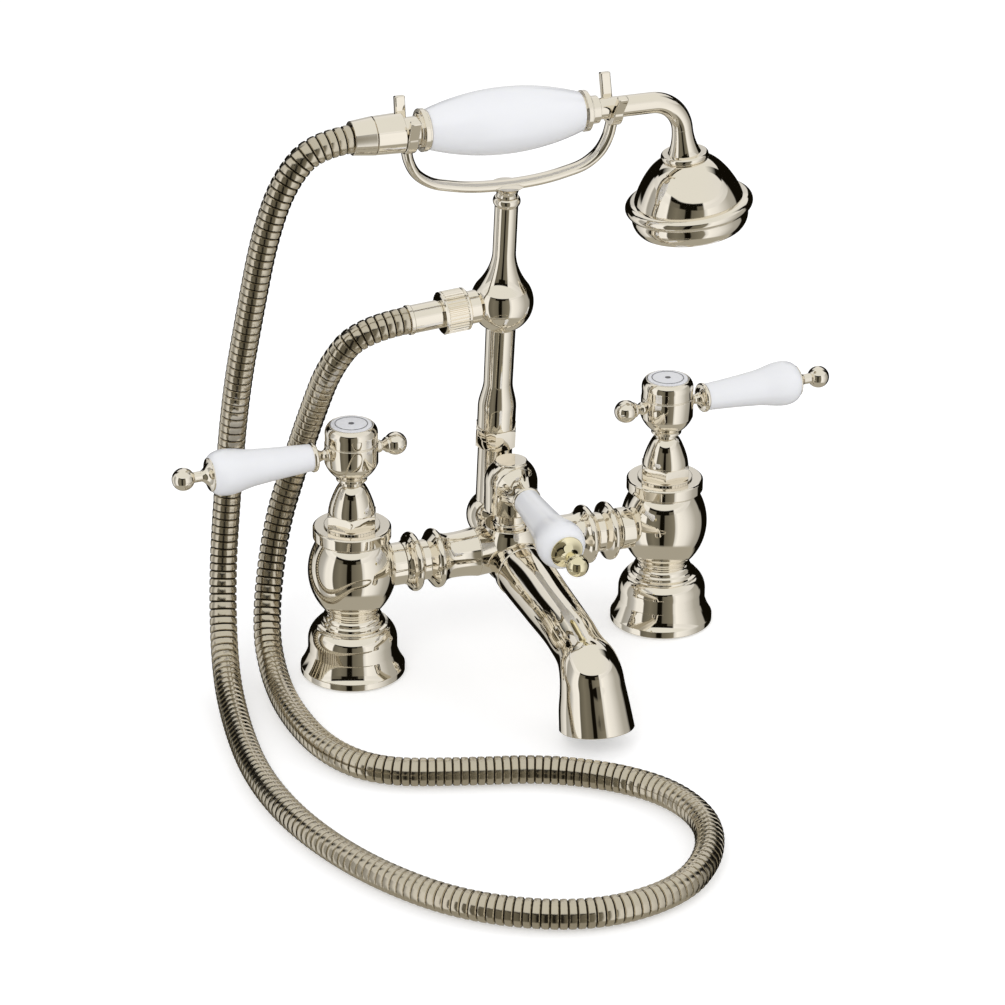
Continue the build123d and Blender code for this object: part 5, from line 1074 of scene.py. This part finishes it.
def add_world():
    """Even white light; polished metal also sees the studio's soft boxes, dark panel, ceiling and table."""
    world = bpy.data.worlds.new("studio")
    bpy.context.scene.world = world
    world.use_nodes = True
    tree = world.node_tree
    tree.nodes.clear()
    ray = add(tree, "ShaderNodeLightPath")
    view = add(tree, "ShaderNodeTexCoord").outputs["Generated"]
    parts = add(tree, "ShaderNodeSeparateXYZ", {"Vector": view})
    turn = add(tree, "ShaderNodeMath", {0: parts.outputs["Y"], 1: parts.outputs["X"]}, operation="ARCTAN2")
    share = add(tree, "ShaderNodeMapRange", {"Value": turn.outputs[0], "From Min": -math.pi,
                                             "From Max": math.pi})
    studio = fill_ramp(tree, share, LOW_WALLS)
    for walls, low, high in LAYERS:
        studio = over(tree, parts.outputs["Z"], low, high, studio, fill_ramp(tree, share, walls))
    studio = over(tree, parts.outputs["Z"], *CEILING_RISE, studio, CEILING)
    studio = over(tree, parts.outputs["Z"], *TABLE_FALL, studio, BEIGE)
    soft = add(tree, "ShaderNodeMix", {"Factor": ray.outputs["Is Camera Ray"]}, data_type="RGBA")
    soft.inputs["A"].default_value = (*DAYLIGHT, 1)
    soft.inputs["B"].default_value = (*WHITE, 1)
    choice = add(tree, "ShaderNodeMix", {"Factor": ray.outputs["Is Glossy Ray"]}, data_type="RGBA")
    tree.links.new(soft.outputs["Result"], choice.inputs["A"])
    tree.links.new(studio, choice.inputs["B"])
    glow = add(tree, "ShaderNodeBackground", {"Color": choice.outputs["Result"], "Strength": 1.0})
    add(tree, "ShaderNodeOutputWorld", {"Surface": glow.outputs[0]})


def over(tree, height, start, full, under, layer):
    """The studio so far, with a colour or a ramp laid over it from start to full."""
    mask = add(tree, "ShaderNodeMapRange", {"Value": height, "From Min": start, "From Max": full})
    mix = add(tree, "ShaderNodeMix", {"Factor": mask.outputs["Result"]}, data_type="RGBA")
    tree.links.new(under, mix.inputs["A"])
    if isinstance(layer, tuple):
        mix.inputs["B"].default_value = (*layer, 1)
    else:
        tree.links.new(layer, mix.inputs["B"])
    return mix.outputs["Result"]


def fill_ramp(tree, share, stops):
    """A colour ramp around the studio, which ends in the colour that it starts with."""
    node = add(tree, "ShaderNodeValToRGB", {"Fac": share.outputs["Result"]})
    ramp = node.color_ramp
    places = sorted(((CAMERA_SHARE + turn / 360) % 1.0, colour) for turn, colour in stops)
    for end, place in ((1, 1.0), (0, 0.0)):
        ramp.elements[end].position = place
        ramp.elements[end].color = (*places[0][1], 1)
    for place, colour in places:
        stop = ramp.elements.new(place)
        stop.color = (*colour, 1)
    return node.outputs["Color"]


LAMP_AIM = Vector((0, 0, 0.12))
KEY_PLACE = (-1.1, -1.4, 1.6)
FILL_PLACE = (1.5, -0.9, 1.2)


def add_lamp(name, place, size, power):
    data = bpy.data.lights.new(name, "AREA")
    data.shape = "RECTANGLE"
    data.size = data.size_y = size
    data.energy = power
    lamp = bpy.data.objects.new(name, data)
    lamp.location = place
    lamp.rotation_euler = (LAMP_AIM - Vector(place)).to_track_quat("-Z", "Y").to_euler()
    lamp.visible_glossy = False
    bpy.context.scene.collection.objects.link(lamp)


dress_nodes()
add_camera()
hose, hose_path, hose_length = make_hose()
make_pillars()
make_cross_body()
make_spout()
make_levers()
make_diverter()
make_riser()
make_column()
outlet_nut, ferrule = make_knurled_nut()
make_cradle()
make_handset()
add_floor()
add_world()
add_lamp("key", KEY_PLACE, size=0.9, power=9)
add_lamp("fill", FILL_PLACE, size=1.0, power=5)
bpy.context.scene.view_settings.view_transform = "Standard"
